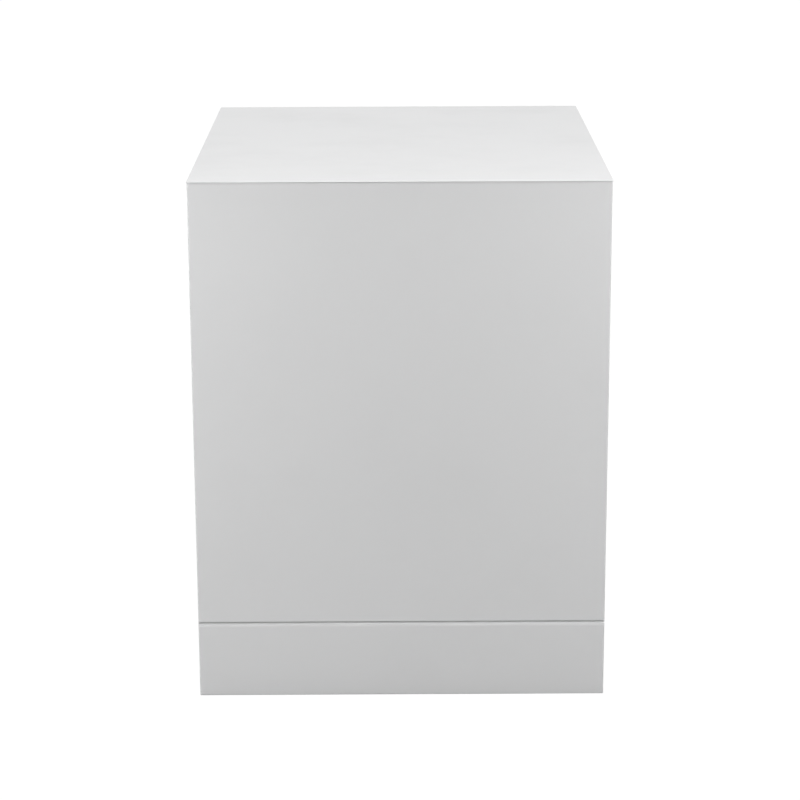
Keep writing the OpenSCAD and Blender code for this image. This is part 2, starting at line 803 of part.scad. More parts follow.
// Countersunk screws through the upper bracket, hexagon ones up through the lower bracket
module hinge_screws() color("dimgray") {
    at_hinge_screws(top_rail_z) {
        translate([0, 0, -2 * frame_t]) cylinder(h = bracket_t + 2 * frame_t, r = screw_r);
        translate([0, 0, bracket_t - sink_h])
            cylinder(h = sink_h, r1 = screw_r, r2 = sink_r - fit);
    }
    at_hinge_screws(lower_bracket_z) {
        cylinder(h = bracket_t + frame_t / 2, r = screw_r);
        translate([0, 0, -2]) cylinder(h = 2, r = 4, $fn = 6);
    }
}

// ---------- feet ----------

// Levelling foot: a moulded pad on a threaded stud
module front_foot(s) color("dimgray") translate([s * foot_x, front_foot_y, 0]) {
    rotate_extrude() polygon([[0, 0], [foot_r - 1.5, 0], [foot_r, 1.5], [foot_r, 5],
        [foot_r * 0.6, 9], [stud_r + 1.5, 10], [stud_r + 1.5, 12], [0, 12]]);
    cylinder(h = stud_top_z, r = stud_r);
}

module front_foot_left() front_foot(-1);
module front_foot_right() front_foot(1);

// Hexagon nuts welded on the rails' lower flanges
module foot_nuts() color("silver") for (s = [-1, 1])
    translate([s * foot_x, front_foot_y, plate_z]) difference() {
        cylinder(h = nut_h, r = nut_r, $fn = 6);
        translate([0, 0, -over]) cylinder(h = nut_h + 2 * over, r = stud_r + pin_gap);
    }

// Rubber feet pushed through the rails' holes from below
module rear_feet() color("dimgray") for (s = [-1, 1]) translate([s * foot_x, rear_foot_y, 0])
    rotate_extrude() polygon([[0, 0], [foot_r - 1.5, 0], [foot_r, 1.5], [foot_r - 2, rail_lift],
        [stud_r, rail_lift], [stud_r, plate_z], [stud_r + 2, plate_z + 1.5], [0, plate_z + 5]]);

// ---------- shelves ----------

// Glass plate whose underside lies on the runners
module shelf_glass(z) color("lightcyan", 0.5) along_z(z, z + glass_t) round_rect(
    [-shelf_x + trim_t, shelf_front_y + trim_t], [shelf_x - trim_t, shelf_rear_y - trim_t], 5);

// Moulded rails that grip the glass's front and rear edges; the rear one stands up as a stop
module shelf_trim(z) color("white") difference() {
    union() {
        along_x(-shelf_x, shelf_x) {
            round_rect([shelf_front_y, z - trim_t], [shelf_front_y + trim_deep, z + glass_t + trim_t],
                trim_t * 0.9);
            round_rect([shelf_rear_y - trim_deep, z - trim_t], [shelf_rear_y, z + glass_t + trim_t], 1.4);
            round_rect([shelf_rear_y - trim_t, z - trim_t], [shelf_rear_y, z + trim_stop_h], 1.4);
        }
    }
    block([-shelf_x + trim_t - fit, shelf_front_y + trim_t - fit, z - fit],
        [shelf_x - trim_t + fit, shelf_rear_y - trim_t + fit, z + glass_t + fit]);
}

module upper_shelf() shelf_glass(upper_shelf_z);
module upper_shelf_trim() shelf_trim(upper_shelf_z);
module lower_shelf() shelf_glass(lower_shelf_z);
module lower_shelf_trim() shelf_trim(lower_shelf_z);

// ---------- ice box ----------

// Roll-bonded aluminium box, open at the front, with the refrigerant's channels raised on it
module evaporator_box() color("silver") {
    difference() {
        union() {
            along_y(box_front_y, box_rear_y)
                round_rect([-box_x, box_low_z], [box_x, box_high_z], box_r);
            for (x = [-5 : 5]) translate([x * (box_x - 2 * box_r) / 5, 0, 0])
                for (z = [box_low_z, box_high_z])
                    translate([0, box_rear_y - 12, z]) rotate([90, 0, 0])
                        cylinder(h = box_rear_y - box_front_y - 24, r = channel_r);
        }
        along_y(box_front_y - over, box_rear_y - ice_wall) round_rect(
            [-box_x + ice_wall, box_low_z + ice_wall], [box_x - ice_wall, box_high_z - ice_wall],
            box_r - ice_wall);
    }
}

module at_hangers() {
    for (x = [-1, 1], y = [box_front_y + hanger_inset, box_rear_y - hanger_inset])
        translate([x * (box_x - 2 * box_r) * 0.9, y, box_high_z]) children();
}

// Posts that hang the box from the liner's roof
module evaporator_hangers() color("white") at_hangers()
    cylinder(h = cavity_high_z - box_high_z, r = hanger_r);

// Moulded frame round the box's mouth, with sockets for the flap's pins and a stop below it
module ice_box_frame() color("white") difference() {
    union() {
        difference() {
            along_y(ice_y, ice_y + frame_deep)
                round_rect([-ice_x, ice_low_z], [ice_x, ice_high_z], box_r + 2);
            along_y(ice_y - over, ice_y + frame_deep + over) round_rect(
                [-ice_opening_x, ice_low_z + frame_border],
                [ice_opening_x, ice_high_z - frame_border], 1);
        }
        block([-ice_opening_x - 1, flap_axis_y + flap_t / 2 + seat, ice_low_z + frame_border - 1],
            [ice_opening_x + 1, ice_y + frame_deep, ice_low_z + frame_border + 5]);
    }
    translate([0, flap_axis_y, flap_axis_z]) rotate([0, 90, 0])
        cylinder(h = 2 * ice_opening_x + 14, r = flap_pin_r + pin_gap, center = true);
}

// Flap that hangs on two pins, with a rounded top edge, ribs and a lip to lift it by
module ice_flap() color("aliceblue") {
    low = ice_low_z + frame_border + 1;
    translate([0, flap_axis_y, flap_axis_z]) rotate([0, 90, 0]) {
        cylinder(h = 2 * flap_x, r = flap_t / 2 + 1, center = true);
        cylinder(h = 2 * ice_opening_x + 12, r = flap_pin_r, center = true);
    }
    block([-flap_x, flap_axis_y - flap_t / 2, low], [flap_x, flap_axis_y + flap_t / 2, flap_axis_z]);
    along_x(-flap_x * 0.5, flap_x * 0.5)
        round_rect([ice_y - 8, low], [flap_axis_y, low + 4], 1.9);
    for (z = [0.3, 0.5, 0.7])
        along_x(-flap_x * 0.9, flap_x * 0.9)
            translate([flap_axis_y - flap_t / 2, low + (flap_axis_z - low) * z]) circle(1.2);
}

// Shallow tray under the ice box; its rim slides on the uppermost runners
module drip_tray() color("white") {
    floor_z = tray_rim_z - tray_h + tray_t;
    inner_x = cavity_x - runner_w - 2;
    difference() {
        union() {
            along_z(floor_z, tray_rim_z + tray_t)
                round_rect([-inner_x, tray_front_y], [inner_x, cavity_back_y - 14], 10);
            along_z(tray_rim_z, tray_rim_z + tray_t)
                round_rect([-tray_x, tray_front_y - 8], [tray_x, cavity_back_y - 14], 4);
        }
        along_z(floor_z + tray_t, tray_rim_z + tray_t + over) round_rect(
            [-inner_x + tray_t, tray_front_y + tray_t],
            [inner_x - tray_t, cavity_back_y - 14 - tray_t], 10 - tray_t);
    }
}

// ---------- thermostat ----------

// Hollow moulding on the right side wall, with a hole for the thermostat's shaft
module thermostat_housing() color("white") difference() {
    along_x(housing_x, cavity_x) round_rect([housing_y0, housing_z0], [housing_y1, housing_z1], 6);
    along_x(housing_x + tray_t, cavity_x + over) round_rect(
        [housing_y0 + tray_t, housing_z0 + tray_t], [housing_y1 - tray_t, housing_z1 - tray_t], 4);
    translate([housing_x, knob_y, knob_z]) rotate([0, 90, 0])
        cylinder(h = 10, r = shaft_r + 0.6, center = true);
}

// The switch inside the housing, with the bore that the knob's shaft turns in
module thermostat() color("gray") difference() {
    block([housing_x + tray_t, knob_y - switch_half[0], knob_z - switch_half[1]],
        [cavity_x, knob_y + switch_half[0], knob_z + switch_half[1]]);
    translate([housing_x, knob_y, knob_z]) rotate([0, 90, 0])
        cylinder(h = 2 * (tray_t + switch_l), r = shaft_r + pin_gap, center = true);
}

// Fluted knob with a skirt and a mark, which is at the lower left when the fridge is off
module thermostat_knob() color("whitesmoke") translate([housing_x - seat, knob_y, knob_z])
    rotate([0, -90, 0]) rotate(45) {
        difference() {
            rotate_extrude() polygon([[0, 0], [knob_r, 0], [knob_r, skirt_h - 1], [knob_r - 1, skirt_h],
                [grip_r, skirt_h], [grip_r, knob_h - 1.2], [grip_r - 1.2, knob_h], [0, knob_h]]);
            for (i = [0 : flute_count - 1]) rotate((i + 0.5) * 360 / flute_count)
                translate([grip_r + flute_r / 2, 0, skirt_h + 0.5]) cylinder(h = knob_h, r = flute_r);
            block([-0.8, grip_r * 0.35, knob_h - 0.8], [0.8, grip_r + over, knob_h + over]);
        }
        translate([0, 0, over - switch_l - tray_t]) cylinder(h = switch_l + tray_t, r = shaft_r);
    }

// ---------- refrigeration ----------

// Half of the shell's outline: two domed pressings that meet at a welded flange
module shell_outline() {
    r = compressor_r - weld_proud;
    middle = compressor_h * 0.55;
    intersection() {
        union() {
            translate([0, 0]) square([r - 14, compressor_h]);
            translate([0, 16]) square([r, compressor_h - 16 - 26]);
            translate([r - 16, 16]) circle(16);
            translate([r - 26, compressor_h - 26]) circle(26);
            square([r - 16, 20]);
            translate([0, middle]) square([compressor_r, weld_h]);
        }
        square([compressor_r, compressor_h]);
    }
}

// Hermetic shell with round ends, its foot plate and the stubs of its two pipes
module compressor() color("#2b2b2b") translate([compressor_x, compressor_y, compressor_low_z]) {
    translate([0, 0, foot_plate_t]) {
        for (s = [0, 1]) mirror([s, 0, 0]) translate([compressor_l / 2, 0, 0])
            rotate([0, 0, -90]) rotate_extrude(angle = 180) shell_outline();
        for (s = [0, 1]) mirror([0, s, 0]) along_x(-compressor_l / 2, compressor_l / 2)
            shell_outline();
    }
    difference() {
        along_z(0, foot_plate_t) {
            round_rect([-compressor_l / 2 - 52, -51], [compressor_l / 2 + 52, -33], 8);
            round_rect([-compressor_l / 2 - 52, 33], [compressor_l / 2 + 52, 51], 8);
            round_rect([-compressor_l / 2 - 20, -45], [compressor_l / 2 + 20, 45], 8);
        }
        for (x = [-1, 1], y = [-1, 1]) translate([x * (compressor_l / 2 + 40), y * 42, 0])
            cylinder(h = 10, r = grommet_neck_r + fit, center = true);
    }
    for (z = port_levels) translate([compressor_l / 2, 0, z - compressor_low_z])
        rotate([0, 90, 0]) difference() {
            cylinder(h = compressor_r + port_l, r = port_r + 1);
            translate([0, 0, compressor_r]) cylinder(h = port_l + over, r = port_r);
        }
}

// Rubber bushes between the deck and the compressor's foot plate
module compressor_grommets() color("black") at_grommets() translate([0, 0, frame_t])
    rotate_extrude() {
        lip_z = grommet_h + foot_plate_t;
        top_z = lip_z + 2 * grommet_lip;
        polygon([[0, 0], [grommet_r, 0], [grommet_r, grommet_waist_z - grommet_waist],
            [grommet_r - grommet_waist, grommet_waist_z], [grommet_r, grommet_waist_z + grommet_waist],
            [grommet_r, grommet_h], [grommet_neck_r, grommet_h], [grommet_neck_r, lip_z],
            [grommet_neck_r + grommet_lip, lip_z], [grommet_neck_r, top_z], [0, top_z]]);
    }

// Cover over the relay and the terminals, on the compressor's left end
module terminal_box() color("black") {
    x1 = compressor_x - compressor_l / 2 - compressor_r + weld_proud;
    z0 = compressor_low_z + terminal_lift;
    difference() {
        along_x(x1 - terminal_out, x1 + terminal_in) round_rect(
            [compressor_y - terminal_w / 2, z0], [compressor_y + terminal_w / 2, z0 + terminal_h], 7);
        translate([compressor_x - compressor_l / 2, compressor_y, 0])
            cylinder(h = fridge_h, r = compressor_r + seat);
    }
}

// The tube: from the compressor's lower stub, up the right side, to and fro down the rear
module condenser_tube() color("#303030") {
    corners = [for (i = [0 : tube_runs - 1], s = i % 2 == 0 ? [1, -1] : [-1, 1])
        [s * tube_x, 0, tube_high_z - i * tube_pitch]];
    inner = [for (i = [1 : len(corners) - 2]) corners[i]];
    port_y = compressor_y - tube_y;
    neck_y = drier_y - tube_y;
    turn_z = drier_top_z + drier_rise;
    translate([0, tube_y, 0]) bent_tube(concat([
        [port_x + port_seat, port_y, port_levels[0]], [port_x + port_run, port_y, port_levels[0]],
        [port_x + port_run, 0, port_levels[0]], [riser_x, 0, port_levels[0]],
        [riser_x, 0, tube_high_z]], inner, [
        [-riser_x, 0, tube_low_z], [-riser_x, 0, turn_z], [drier_x, 0, turn_z],
        [drier_x, neck_y, turn_z], [drier_x, neck_y, drier_top_z - drier_socket]]),
        tube_r, tube_bend * 0.6);
}

// Upright wires, welded to the front and the rear of the tube's runs
module condenser_wires() color("#303030")
    for (i = [0 : wire_count - 1], s = [-1, 1])
        translate([(i - (wire_count - 1) / 2) * wire_pitch, tube_y + s * (tube_r + wire_r), wire_low_z])
            cylinder(h = wire_high_z - wire_low_z, r = wire_r, $fn = 16);

// Moulded posts that hold the tube's second and last but one runs off the back panel
module condenser_clips() color("black") {
    for (x = [-clip_x, clip_x], i = [1, tube_runs - 2]) {
        z = tube_high_z - i * tube_pitch;
        difference() {
            along_y(panel_y, tube_y + tube_r + wire_r)
                round_rect([x - clip_half, z - clip_h], [x + clip_half, z + clip_h], clip_r);
            translate([x, tube_y, z]) rotate([0, 90, 0])
                cylinder(h = 20, r = tube_r + fit, center = true);
            block([x - clip_h, tube_y, z - tube_r * 0.8], [x + clip_h, rear_y, z + tube_r * 0.8]);
        }
    }
}

// Copper drier with drawn-down necks at both ends
module filter_drier() color("peru") translate([drier_x, drier_y, drier_top_z - drier_l])
    difference() {
        rotate_extrude() polygon([[0, 0], [tube_r + 1.4, 0], [tube_r + 1.4, 8], [drier_r, 16],
            [drier_r, drier_l - 16], [tube_r + 1.4, drier_l - 8], [tube_r + 1.4, drier_l],
            [0, drier_l]]);
        translate([0, 0, drier_l - drier_socket]) cylinder(h = 10, r = tube_r + fit);
        translate([0, 0, -over]) cylinder(h = drier_socket + over, r = capillary_r + fit);
    }

// Capillary from the drier's lower neck, round below it and up through the bay's ceiling
module capillary_line() color("peru") {
    neck_z = drier_top_z - drier_l + drier_socket - over;
    low = drier_top_z - drier_l - capillary_dip;
    x = drier_x + capillary_run;
    y = bay_front_y + line_inset;
    bent_tube([
        [drier_x, drier_y, neck_z], [drier_x, drier_y, low], [x, drier_y, low],
        [x, y, low], [x, y, bay_h - sheet_t]], capillary_r, 8);
}

// Suction pipe from the bay's ceiling down to the compressor's upper stub
module suction_line() color("peru") {
    x = port_x + suction_run;
    y = bay_front_y + line_inset;
    turn_z = bay_h - line_inset;
    bent_tube([
        [x, y, bay_h - sheet_t], [x, y, turn_z], [x, compressor_y, turn_z],
        [x, compressor_y, port_levels[1]], [port_x + port_seat, compressor_y, port_levels[1]]],
        port_r - fit, 12);
}

// Empty cable gland, snapped into the deck's rear lip
module cord_gland() color("black") translate([gland_x, plate_rear_y, gland_z]) rotate([90, 0, 0])
    rotate_extrude() {
        h = frame_t / 2 + fit / 2;
        polygon([[4, -9], [8, -9], [gland_r + 3, -h], [gland_r, -h], [gland_r, h], [gland_r + 3, h],
            [gland_r, 7], [4, 7]]);
    }

// ---------- door ----------

module grip_outline(g)
    round_rect([grip_y0 - g, grip_z0 - g], [grip_y1 + g, grip_z1 + g], 8 + g);

// Room for the upper hinge bracket in the door's top corner, while the door turns under it
module hinge_pocket() block([pin_x - nose_r - 1.5, pin_y - 17, pocket_z],
    [half_w + over, door_back_y + over, fridge_h]);

// One folded steel sheet: the face, both sides and the returns behind them
module door_panel() color("gainsboro") difference() {
    h = sheet_t / 2;
    return_x = half_w - 12;
    along_z(door_low_z, door_high_z) folded([
        [-return_x, liner_face_y - h], [-half_w + h, liner_face_y - h],
        [-half_w + h, face_y + h], [half_w - h, face_y + h],
        [half_w - h, liner_face_y - h], [return_x, liner_face_y - h]], sheet_t, edge_r - sheet_t);
    along_x(-half_w - over, -half_w + sheet_t + over) grip_outline(fit);
    hinge_pocket();
}

// Moulded end of the door, a shallow tray with a boss for the hinge's bush
module door_end(z, up) translate([0, 0, z]) mirror([0, 0, up > 0 ? 1 : 0]) difference() {
    x = half_w - sheet_t - fit;
    y0 = face_y + sheet_t + fit;
    y1 = liner_face_y - sheet_t - fit;
    union() {
        difference() {
            along_z(0, end_h) round_rect([-x, y0], [x, y1], edge_r);
            for (i = [-3 : 3]) {
                bay = 2 * x / 7;
                along_z(end_wall + (up > 0 ? 2 : 0), end_h + over) round_rect(
                    [(i - 0.5) * bay + end_wall / 2, y0 + end_wall],
                    [(i + 0.5) * bay - end_wall / 2, y1 - end_wall], 3);
            }
        }
        translate([pin_x, pin_y, 0]) cylinder(h = pin_l + 6, r = bush_r + end_wall);
    }
    translate([pin_x, pin_y, -over]) cylinder(h = pin_l + 5 + over, r = bush_r + fit / 2);
}

module door_top_end() color("gainsboro") difference() {
    door_end(door_high_z, 1);
    hinge_pocket();
}

module door_bottom_end() color("gainsboro") door_end(door_low_z, 0);

// Blind bushes that the hinge pins turn in
module hinge_bushings() color("ivory") translate([pin_x, pin_y, 0]) {
    difference() {
        translate([0, 0, door_low_z]) cylinder(h = pin_l + 3, r = bush_r);
        translate([0, 0, door_low_z - over]) cylinder(h = pin_l + 2 + over, r = pin_r + pin_gap);
    }
    difference() {
        translate([0, 0, pocket_z - pin_l - 2]) cylinder(h = pin_l + 2, r = bush_r);
        translate([0, 0, pocket_z - pin_l]) cylinder(h = pin_l + over, r = pin_r + pin_gap);
    }
}

// Ring that reaches half to both sides of the seal's middle line
module seal_ring(half) difference() {
    a = seal_mid - half;
    b = seal_mid + half;
    round_rect([-half_w + a, door_low_z + a], [half_w - a, door_high_z - a], seal_r + half);
    round_rect([-half_w + b, door_low_z + b], [half_w - b, door_high_z - b], seal_r - half);
}

module ridge_outline(g) round_rect(
    [-ridge_x - g, ridge_low_z - g], [ridge_x + g, ridge_high_z + g], ridge_r + g);

module bottle_rail_holes(r) translate([0, rail_y, rail_z]) rotate([0, 90, 0])
    cylinder(h = 2 * (ridge_x - ridge_w + 8), r = r, center = true);

// Vacuum-formed inner face of the door: the seal's groove, the hollow ridge and the bins' lugs
module door_liner() color("white") {
    difference() {
        union() {
            along_y(liner_face_y, door_back_y)
                round_rect([-half_w + 3, door_low_z + 3], [half_w - 3, door_high_z - 3], 4);
            along_y(door_back_y - over, door_back_y + ridge_h) difference() {
                ridge_outline(0);
                ridge_outline(-ridge_w);
            }
            along_y(door_back_y - groove_deep - liner_t, door_back_y - over)
                seal_ring(groove_half + liner_t);
        }
        along_y(liner_face_y - over, door_back_y + ridge_h - liner_t) difference() {
            ridge_outline(-liner_t);
            ridge_outline(liner_t - ridge_w);
        }
        along_y(door_back_y - groove_deep, door_back_y + over) seal_ring(groove_half);
        bottle_rail_holes(rail_wire_r + fit);
    }
    for (s = [-1, 1], z = [upper_bin_z + upper_bin_h, lower_bin_z + lower_bin_h])
        translate([s * (ridge_x - ridge_w), lug_y, z - lug_drop]) rotate([0, -s * 90, 0])
            translate([0, 0, -liner_t / 2]) cylinder(h = lug_l + liner_t / 2, r = lug_r);
}

// Foam inside the door, clear of the ends, the recess, the seal's groove and the hinge's bosses
module door_insulation() color("lemonchiffon") {
    g = foam_gap;
    difference() {
        along_z(door_low_z + end_h + g, door_high_z - end_h - g) round_rect(
            [-half_w + sheet_t + g, face_y + sheet_t + g],
            [half_w - sheet_t - g, liner_face_y - sheet_t - g], edge_r);
        for (z = [door_low_z, door_high_z]) translate([pin_x, pin_y, z])
            cylinder(h = 2 * (pin_l + 7), r = bush_r + end_wall + g, center = true);
        along_x(-half_w, -half_w + grip_depth + g) grip_outline(g);
        along_y(door_back_y - groove_deep - liner_t - g, door_back_y)
            seal_ring(groove_half + liner_t + g);
    }
}

// Soft seal with a barbed foot in the groove, an air chamber and a chamber for its magnet
module door_seal() color("whitesmoke") translate([0, door_back_y, door_mid_z]) rotate([-90, 0, 0])
    ring_sweep(fridge_w - 2 * seal_mid, door_h - 2 * seal_mid, seal_r) {
        half = seal_w / 2;
        high = seal_gap - seat;
        difference() {
            union() {
                translate([-half, 0]) square([seal_w, 2]);
                translate([-half + 1, 1]) square([seal_w - 2, high - 1]);
                translate([-groove_half + 0.3, -groove_deep + 0.5])
                    square([2 * groove_half - 0.6, groove_deep]);
            }
            translate([-half + 2, 2]) square([seal_w - 4, high - 7.2]);
            translate([-half + 2, high - 4]) square([seal_w - 4, 3]);
        }
    }

// Moulded cup behind the opening in the door's free edge
module grip_cup() color("gainsboro") difference() {
    along_x(-half_w, -half_w + grip_depth) grip_outline(0);
    along_x(-half_w - over, -half_w + grip_depth - 2) grip_outline(-2);
}

module bin_outline(g) round_rect(
    [-bin_x + g, door_back_y + 0.5 + g], [bin_x - g, door_back_y + bin_depth - g], bin_r - g);

// Door bin with a thicker rim, a lower front and notches that drop over the liner's lugs
module door_bin(z, h) color("white", 0.8) difference() {
    union() {
        along_z(z, z + h) bin_outline(1.2);
        along_z(z + h - bin_rim, z + h) bin_outline(0);
        along_z(z, z + bin_rim) bin_outline(0);
    }
    along_z(z + tray_t, z + h + over) bin_outline(1.2 + tray_t);
    for (s = [-1, 1]) translate([s * bin_x, lug_y, z + h - lug_drop]) {
        rotate([0, 90, 0]) cylinder(h = 4 * lug_l, r = lug_r + seat, center = true);
        block([-2 * lug_l, -lug_r - seat, -lug_drop * 3], [2 * lug_l, lug_r + seat, 0]);
    }
}

module upper_door_bin() door_bin(upper_bin_z, upper_bin_h);
module lower_door_bin() door_bin(lower_bin_z, lower_bin_h);

// Wire rail over the lower bin, sprung into holes in the ridge
module bottle_rail() color("white") {
    x = ridge_x - ridge_w + 5;
    front = door_back_y + bin_depth - 6;
    bent_tube([
        [-x, rail_y, rail_z], [-bin_x + 14, rail_y, rail_z], [-bin_x + 14, front, rail_z],
        [bin_x - 14, front, rail_z], [bin_x - 14, rail_y, rail_z], [x, rail_y, rail_z]],
        rail_wire_r, 8);
}

top_cap();
side_panel_left();
side_panel_right();
back_panel();
floor_pan();
front_top_rail();
front_crossmember();
base_rail_left();
base_rail_right();
compressor_plate();
inner_liner();
cabinet_insulation();
plinth_panel();
plinth_brackets();
upper_hinge_bracket();
lower_hinge_bracket();
hinge_pins();
thrust_washer();
hinge_screws();
panel_screws();
upper_shelf();
upper_shelf_trim();
lower_shelf();
lower_shelf_trim();
evaporator_box();
evaporator_hangers();
ice_box_frame();
drip_tray();
thermostat_housing();
thermostat();
compressor();
compressor_grommets();
terminal_box();
condenser_tube();
condenser_wires();
condenser_clips();
filter_drier();
capillary_line();
suction_line();
cord_gland();
rear_feet();
foot_nuts();
door_panel();
door_liner();
door_insulation();
door_top_end();
door_bottom_end();
door_seal();
grip_cup();
hinge_bushings();
upper_door_bin();
lower_door_bin();
bottle_rail();
ice_flap();
thermostat_knob();
front_foot_left();
front_foot_right();
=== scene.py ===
import json
import math

import bmesh
import bpy
from mathutils import Matrix, Vector


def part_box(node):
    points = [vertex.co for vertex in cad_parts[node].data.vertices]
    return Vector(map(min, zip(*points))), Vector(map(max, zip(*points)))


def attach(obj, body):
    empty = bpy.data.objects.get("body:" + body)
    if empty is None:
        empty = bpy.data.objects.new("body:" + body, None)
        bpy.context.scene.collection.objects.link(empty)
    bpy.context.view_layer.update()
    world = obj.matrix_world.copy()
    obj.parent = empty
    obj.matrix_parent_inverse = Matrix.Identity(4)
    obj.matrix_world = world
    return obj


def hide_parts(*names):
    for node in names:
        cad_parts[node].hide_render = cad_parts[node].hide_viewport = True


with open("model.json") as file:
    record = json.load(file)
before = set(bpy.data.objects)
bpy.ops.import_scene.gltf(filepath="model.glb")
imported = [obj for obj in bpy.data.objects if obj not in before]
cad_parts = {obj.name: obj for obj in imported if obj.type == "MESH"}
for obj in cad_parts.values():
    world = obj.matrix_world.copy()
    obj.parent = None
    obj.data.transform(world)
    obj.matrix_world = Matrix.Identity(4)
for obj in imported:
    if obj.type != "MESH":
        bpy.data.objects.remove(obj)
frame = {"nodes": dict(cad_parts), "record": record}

mm = 0.001
near = 1e-6  # closer than this counts as equal
decimals = 5  # of a metre, for comparing places
bodyOf = {node: body for body, nodes in frame["record"]["behaviour"]["bodies"].items() for node in nodes}
slotOf = {part["node"]: part["material_slot"] for part in frame["record"]["subparts"]}
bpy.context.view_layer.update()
print("frame loaded,", len(bodyOf), "nodes")

# making objects and nodes


def newObject(name, data):
    made = bpy.data.objects.new(name, data)
    bpy.context.scene.collection.objects.link(made)
    return made


def wire(tree, source, node, socket):  # joins an output, or sets a plain value
    if isinstance(source, (int, float, tuple)):
        node.inputs[socket].default_value = source
    else:
        tree.links.new(source, node.inputs[socket])


def place(tree, kind, links=None, **settings):  # a node with its properties set and its inputs joined
    node = tree.nodes.new(kind)
    for key, value in settings.items():
        setattr(node, key, value)
    for socket, source in (links or {}).items():
        wire(tree, source, node, socket)
    return node


def mathNode(tree, operation, *values):
    return place(tree, "ShaderNodeMath", dict(enumerate(values)), operation=operation).outputs[0]


def mixByRay(tree, ray, usual, special, output, share=1.0):  # one kind of ray meets the special shader
    factor = place(tree, "ShaderNodeLightPath").outputs[ray]
    if share < 1:
        factor = mathNode(tree, "MULTIPLY", factor, share)
    mix = place(tree, "ShaderNodeMixShader", {0: factor, 1: usual.outputs[0], 2: special.outputs[0]})
    tree.links.new(mix.outputs[0], tree.nodes[output].inputs["Surface"])


# camera, room and lights

cameraSet = {
    "place": (-0.0066, -2.965, 1.094), "pitch": 15.23, "yaw": -0.126, "roll": -0.233,
    "lens": 108.5, "sensor": 36, "farthest": 50,
}

camera = newObject("camera", bpy.data.cameras.new("camera"))
camera.data.lens = cameraSet["lens"]
camera.data.sensor_width = cameraSet["sensor"]
camera.data.clip_end = cameraSet["farthest"]
camera.matrix_world = (
    Matrix.Translation(cameraSet["place"])
    @ Matrix.Rotation(math.radians(cameraSet["yaw"]), 4, "Z")
    @ Matrix.Rotation(math.radians(90 - cameraSet["pitch"]), 4, "X")
    @ Matrix.Rotation(math.radians(cameraSet["roll"]), 4, "Z")
)
bpy.context.scene.camera = camera
bpy.context.scene.view_settings.view_transform = "Standard"

roomSet = {
    "fill": 0.2,  # even light from all round
    "paper": 1.08,  # how bright the backdrop and the floor look
    "skyStrength": 2.65,  # soft light from straight above
    "skySpread": 12,  # degrees
    "skyHeight": 3,
}

# the strips lighten the sides of the front. The boxes beside and behind the fridge reach no higher
# than about its top, which keeps their glare off it.
softboxes = {
    "frontBox": {"place": (0, -3.4, 0.62), "aim": (0, -0.3, 0.35), "size": (3.4, 1.1), "power": 21.5},
    "edgeBox": {"place": (0.7, -1.35, 2.6), "aim": (0.2, -0.3, 0.35), "size": (2.0, 0.4), "power": 125,
                "only": "gloss"},  # shows only as the bright line on the folded edges
    "rearCard": {"place": (0, 3.2, 1.15), "aim": (0, 0, 0.62), "size": (1.8, 0.7), "power": 3,
                 "only": "gloss"},  # shows only in the top, seen from low in front
    "leftStrip": {"place": (-0.6, -0.62, 0.6), "aim": (-0.05, -0.3, 0.4), "size": (0.2, 1.1),
                  "power": 1.9, "only": "matt"},
    "rightStrip": {"place": (0.6, -0.62, 0.72), "aim": (0.05, -0.3, 0.4), "size": (0.2, 1.1),
                   "power": 1.9, "only": "matt"},
    "leftSide": {"place": (-2.6, 0.2, 0.35), "aim": (0, 0.2, 0.35), "size": (2.6, 0.55), "power": 14},
    "rightSide": {"place": (2.6, 0.2, 0.35), "aim": (0, 0.2, 0.35), "size": (2.6, 0.55), "power": 16},
    "leftRear": {"place": (-1.7, 2.2, 0.35), "aim": (0, 0.3, 0.35), "size": (2.2, 0.55), "power": 15},
    "rightRear": {"place": (1.7, 2.4, 0.35), "aim": (0, 0.3, 0.35), "size": (2.2, 0.55), "power": 15},
}


def addSky():
    lamp = bpy.data.lights.new("sky", "SUN")
    lamp.energy = roomSet["skyStrength"]
    lamp.angle = math.radians(roomSet["skySpread"])
    sky = newObject("sky", lamp)
    sky.location = (0, 0, roomSet["skyHeight"])
    sky.visible_glossy = False  # the flat top shows no glare of it


def addSoftbox(name, facts):
    lamp = bpy.data.lights.new(name, "AREA")
    lamp.shape = "RECTANGLE"
    lamp.size, lamp.size_y = facts["size"]
    lamp.energy = facts["power"]
    box = newObject(name, lamp)
    box.visible_camera = False
    box.visible_diffuse = facts.get("only") != "gloss"
    box.visible_glossy = facts.get("only") != "matt"
    box.location = facts["place"]
    toward = Vector(facts["aim"]) - Vector(facts["place"])
    box.rotation_euler = toward.to_track_quat("-Z", "Y").to_euler()


def dressRoom():  # dim light for the fridge, and a bright backdrop where the camera sees past the floor
    room = bpy.data.worlds.new("room")
    bpy.context.scene.world = room
    room.use_nodes = True
    tree = room.node_tree
    dim = tree.nodes["Background"]
    wire(tree, (1, 1, 1, 1), dim, "Color")
    wire(tree, roomSet["fill"], dim, "Strength")
    backdrop = place(tree, "ShaderNodeBackground", {"Color": (1, 1, 1, 1), "Strength": roomSet["paper"]})
    mixByRay(tree, "Is Camera Ray", dim, backdrop, "World Output")


addSky()
for name, facts in softboxes.items():
    addSoftbox(name, facts)
dressRoom()
print("camera and lights set")

# shader groups that several finishes share


def newGroup(name, inputs, outputs):
    tree = bpy.data.node_groups.new(name, "ShaderNodeTree")
    for label, value in inputs.items():
        kind = "NodeSocketVector" if isinstance(value, tuple) else "NodeSocketFloat"
        socket = tree.interface.new_socket(name=label, in_out="INPUT", socket_type=kind)
        socket.default_value = value
    for label in outputs:
        tree.interface.new_socket(name=label, in_out="OUTPUT", socket_type="NodeSocketFloat")
    return tree, tree.nodes.new("NodeGroupInput"), tree.nodes.new("NodeGroupOutput")


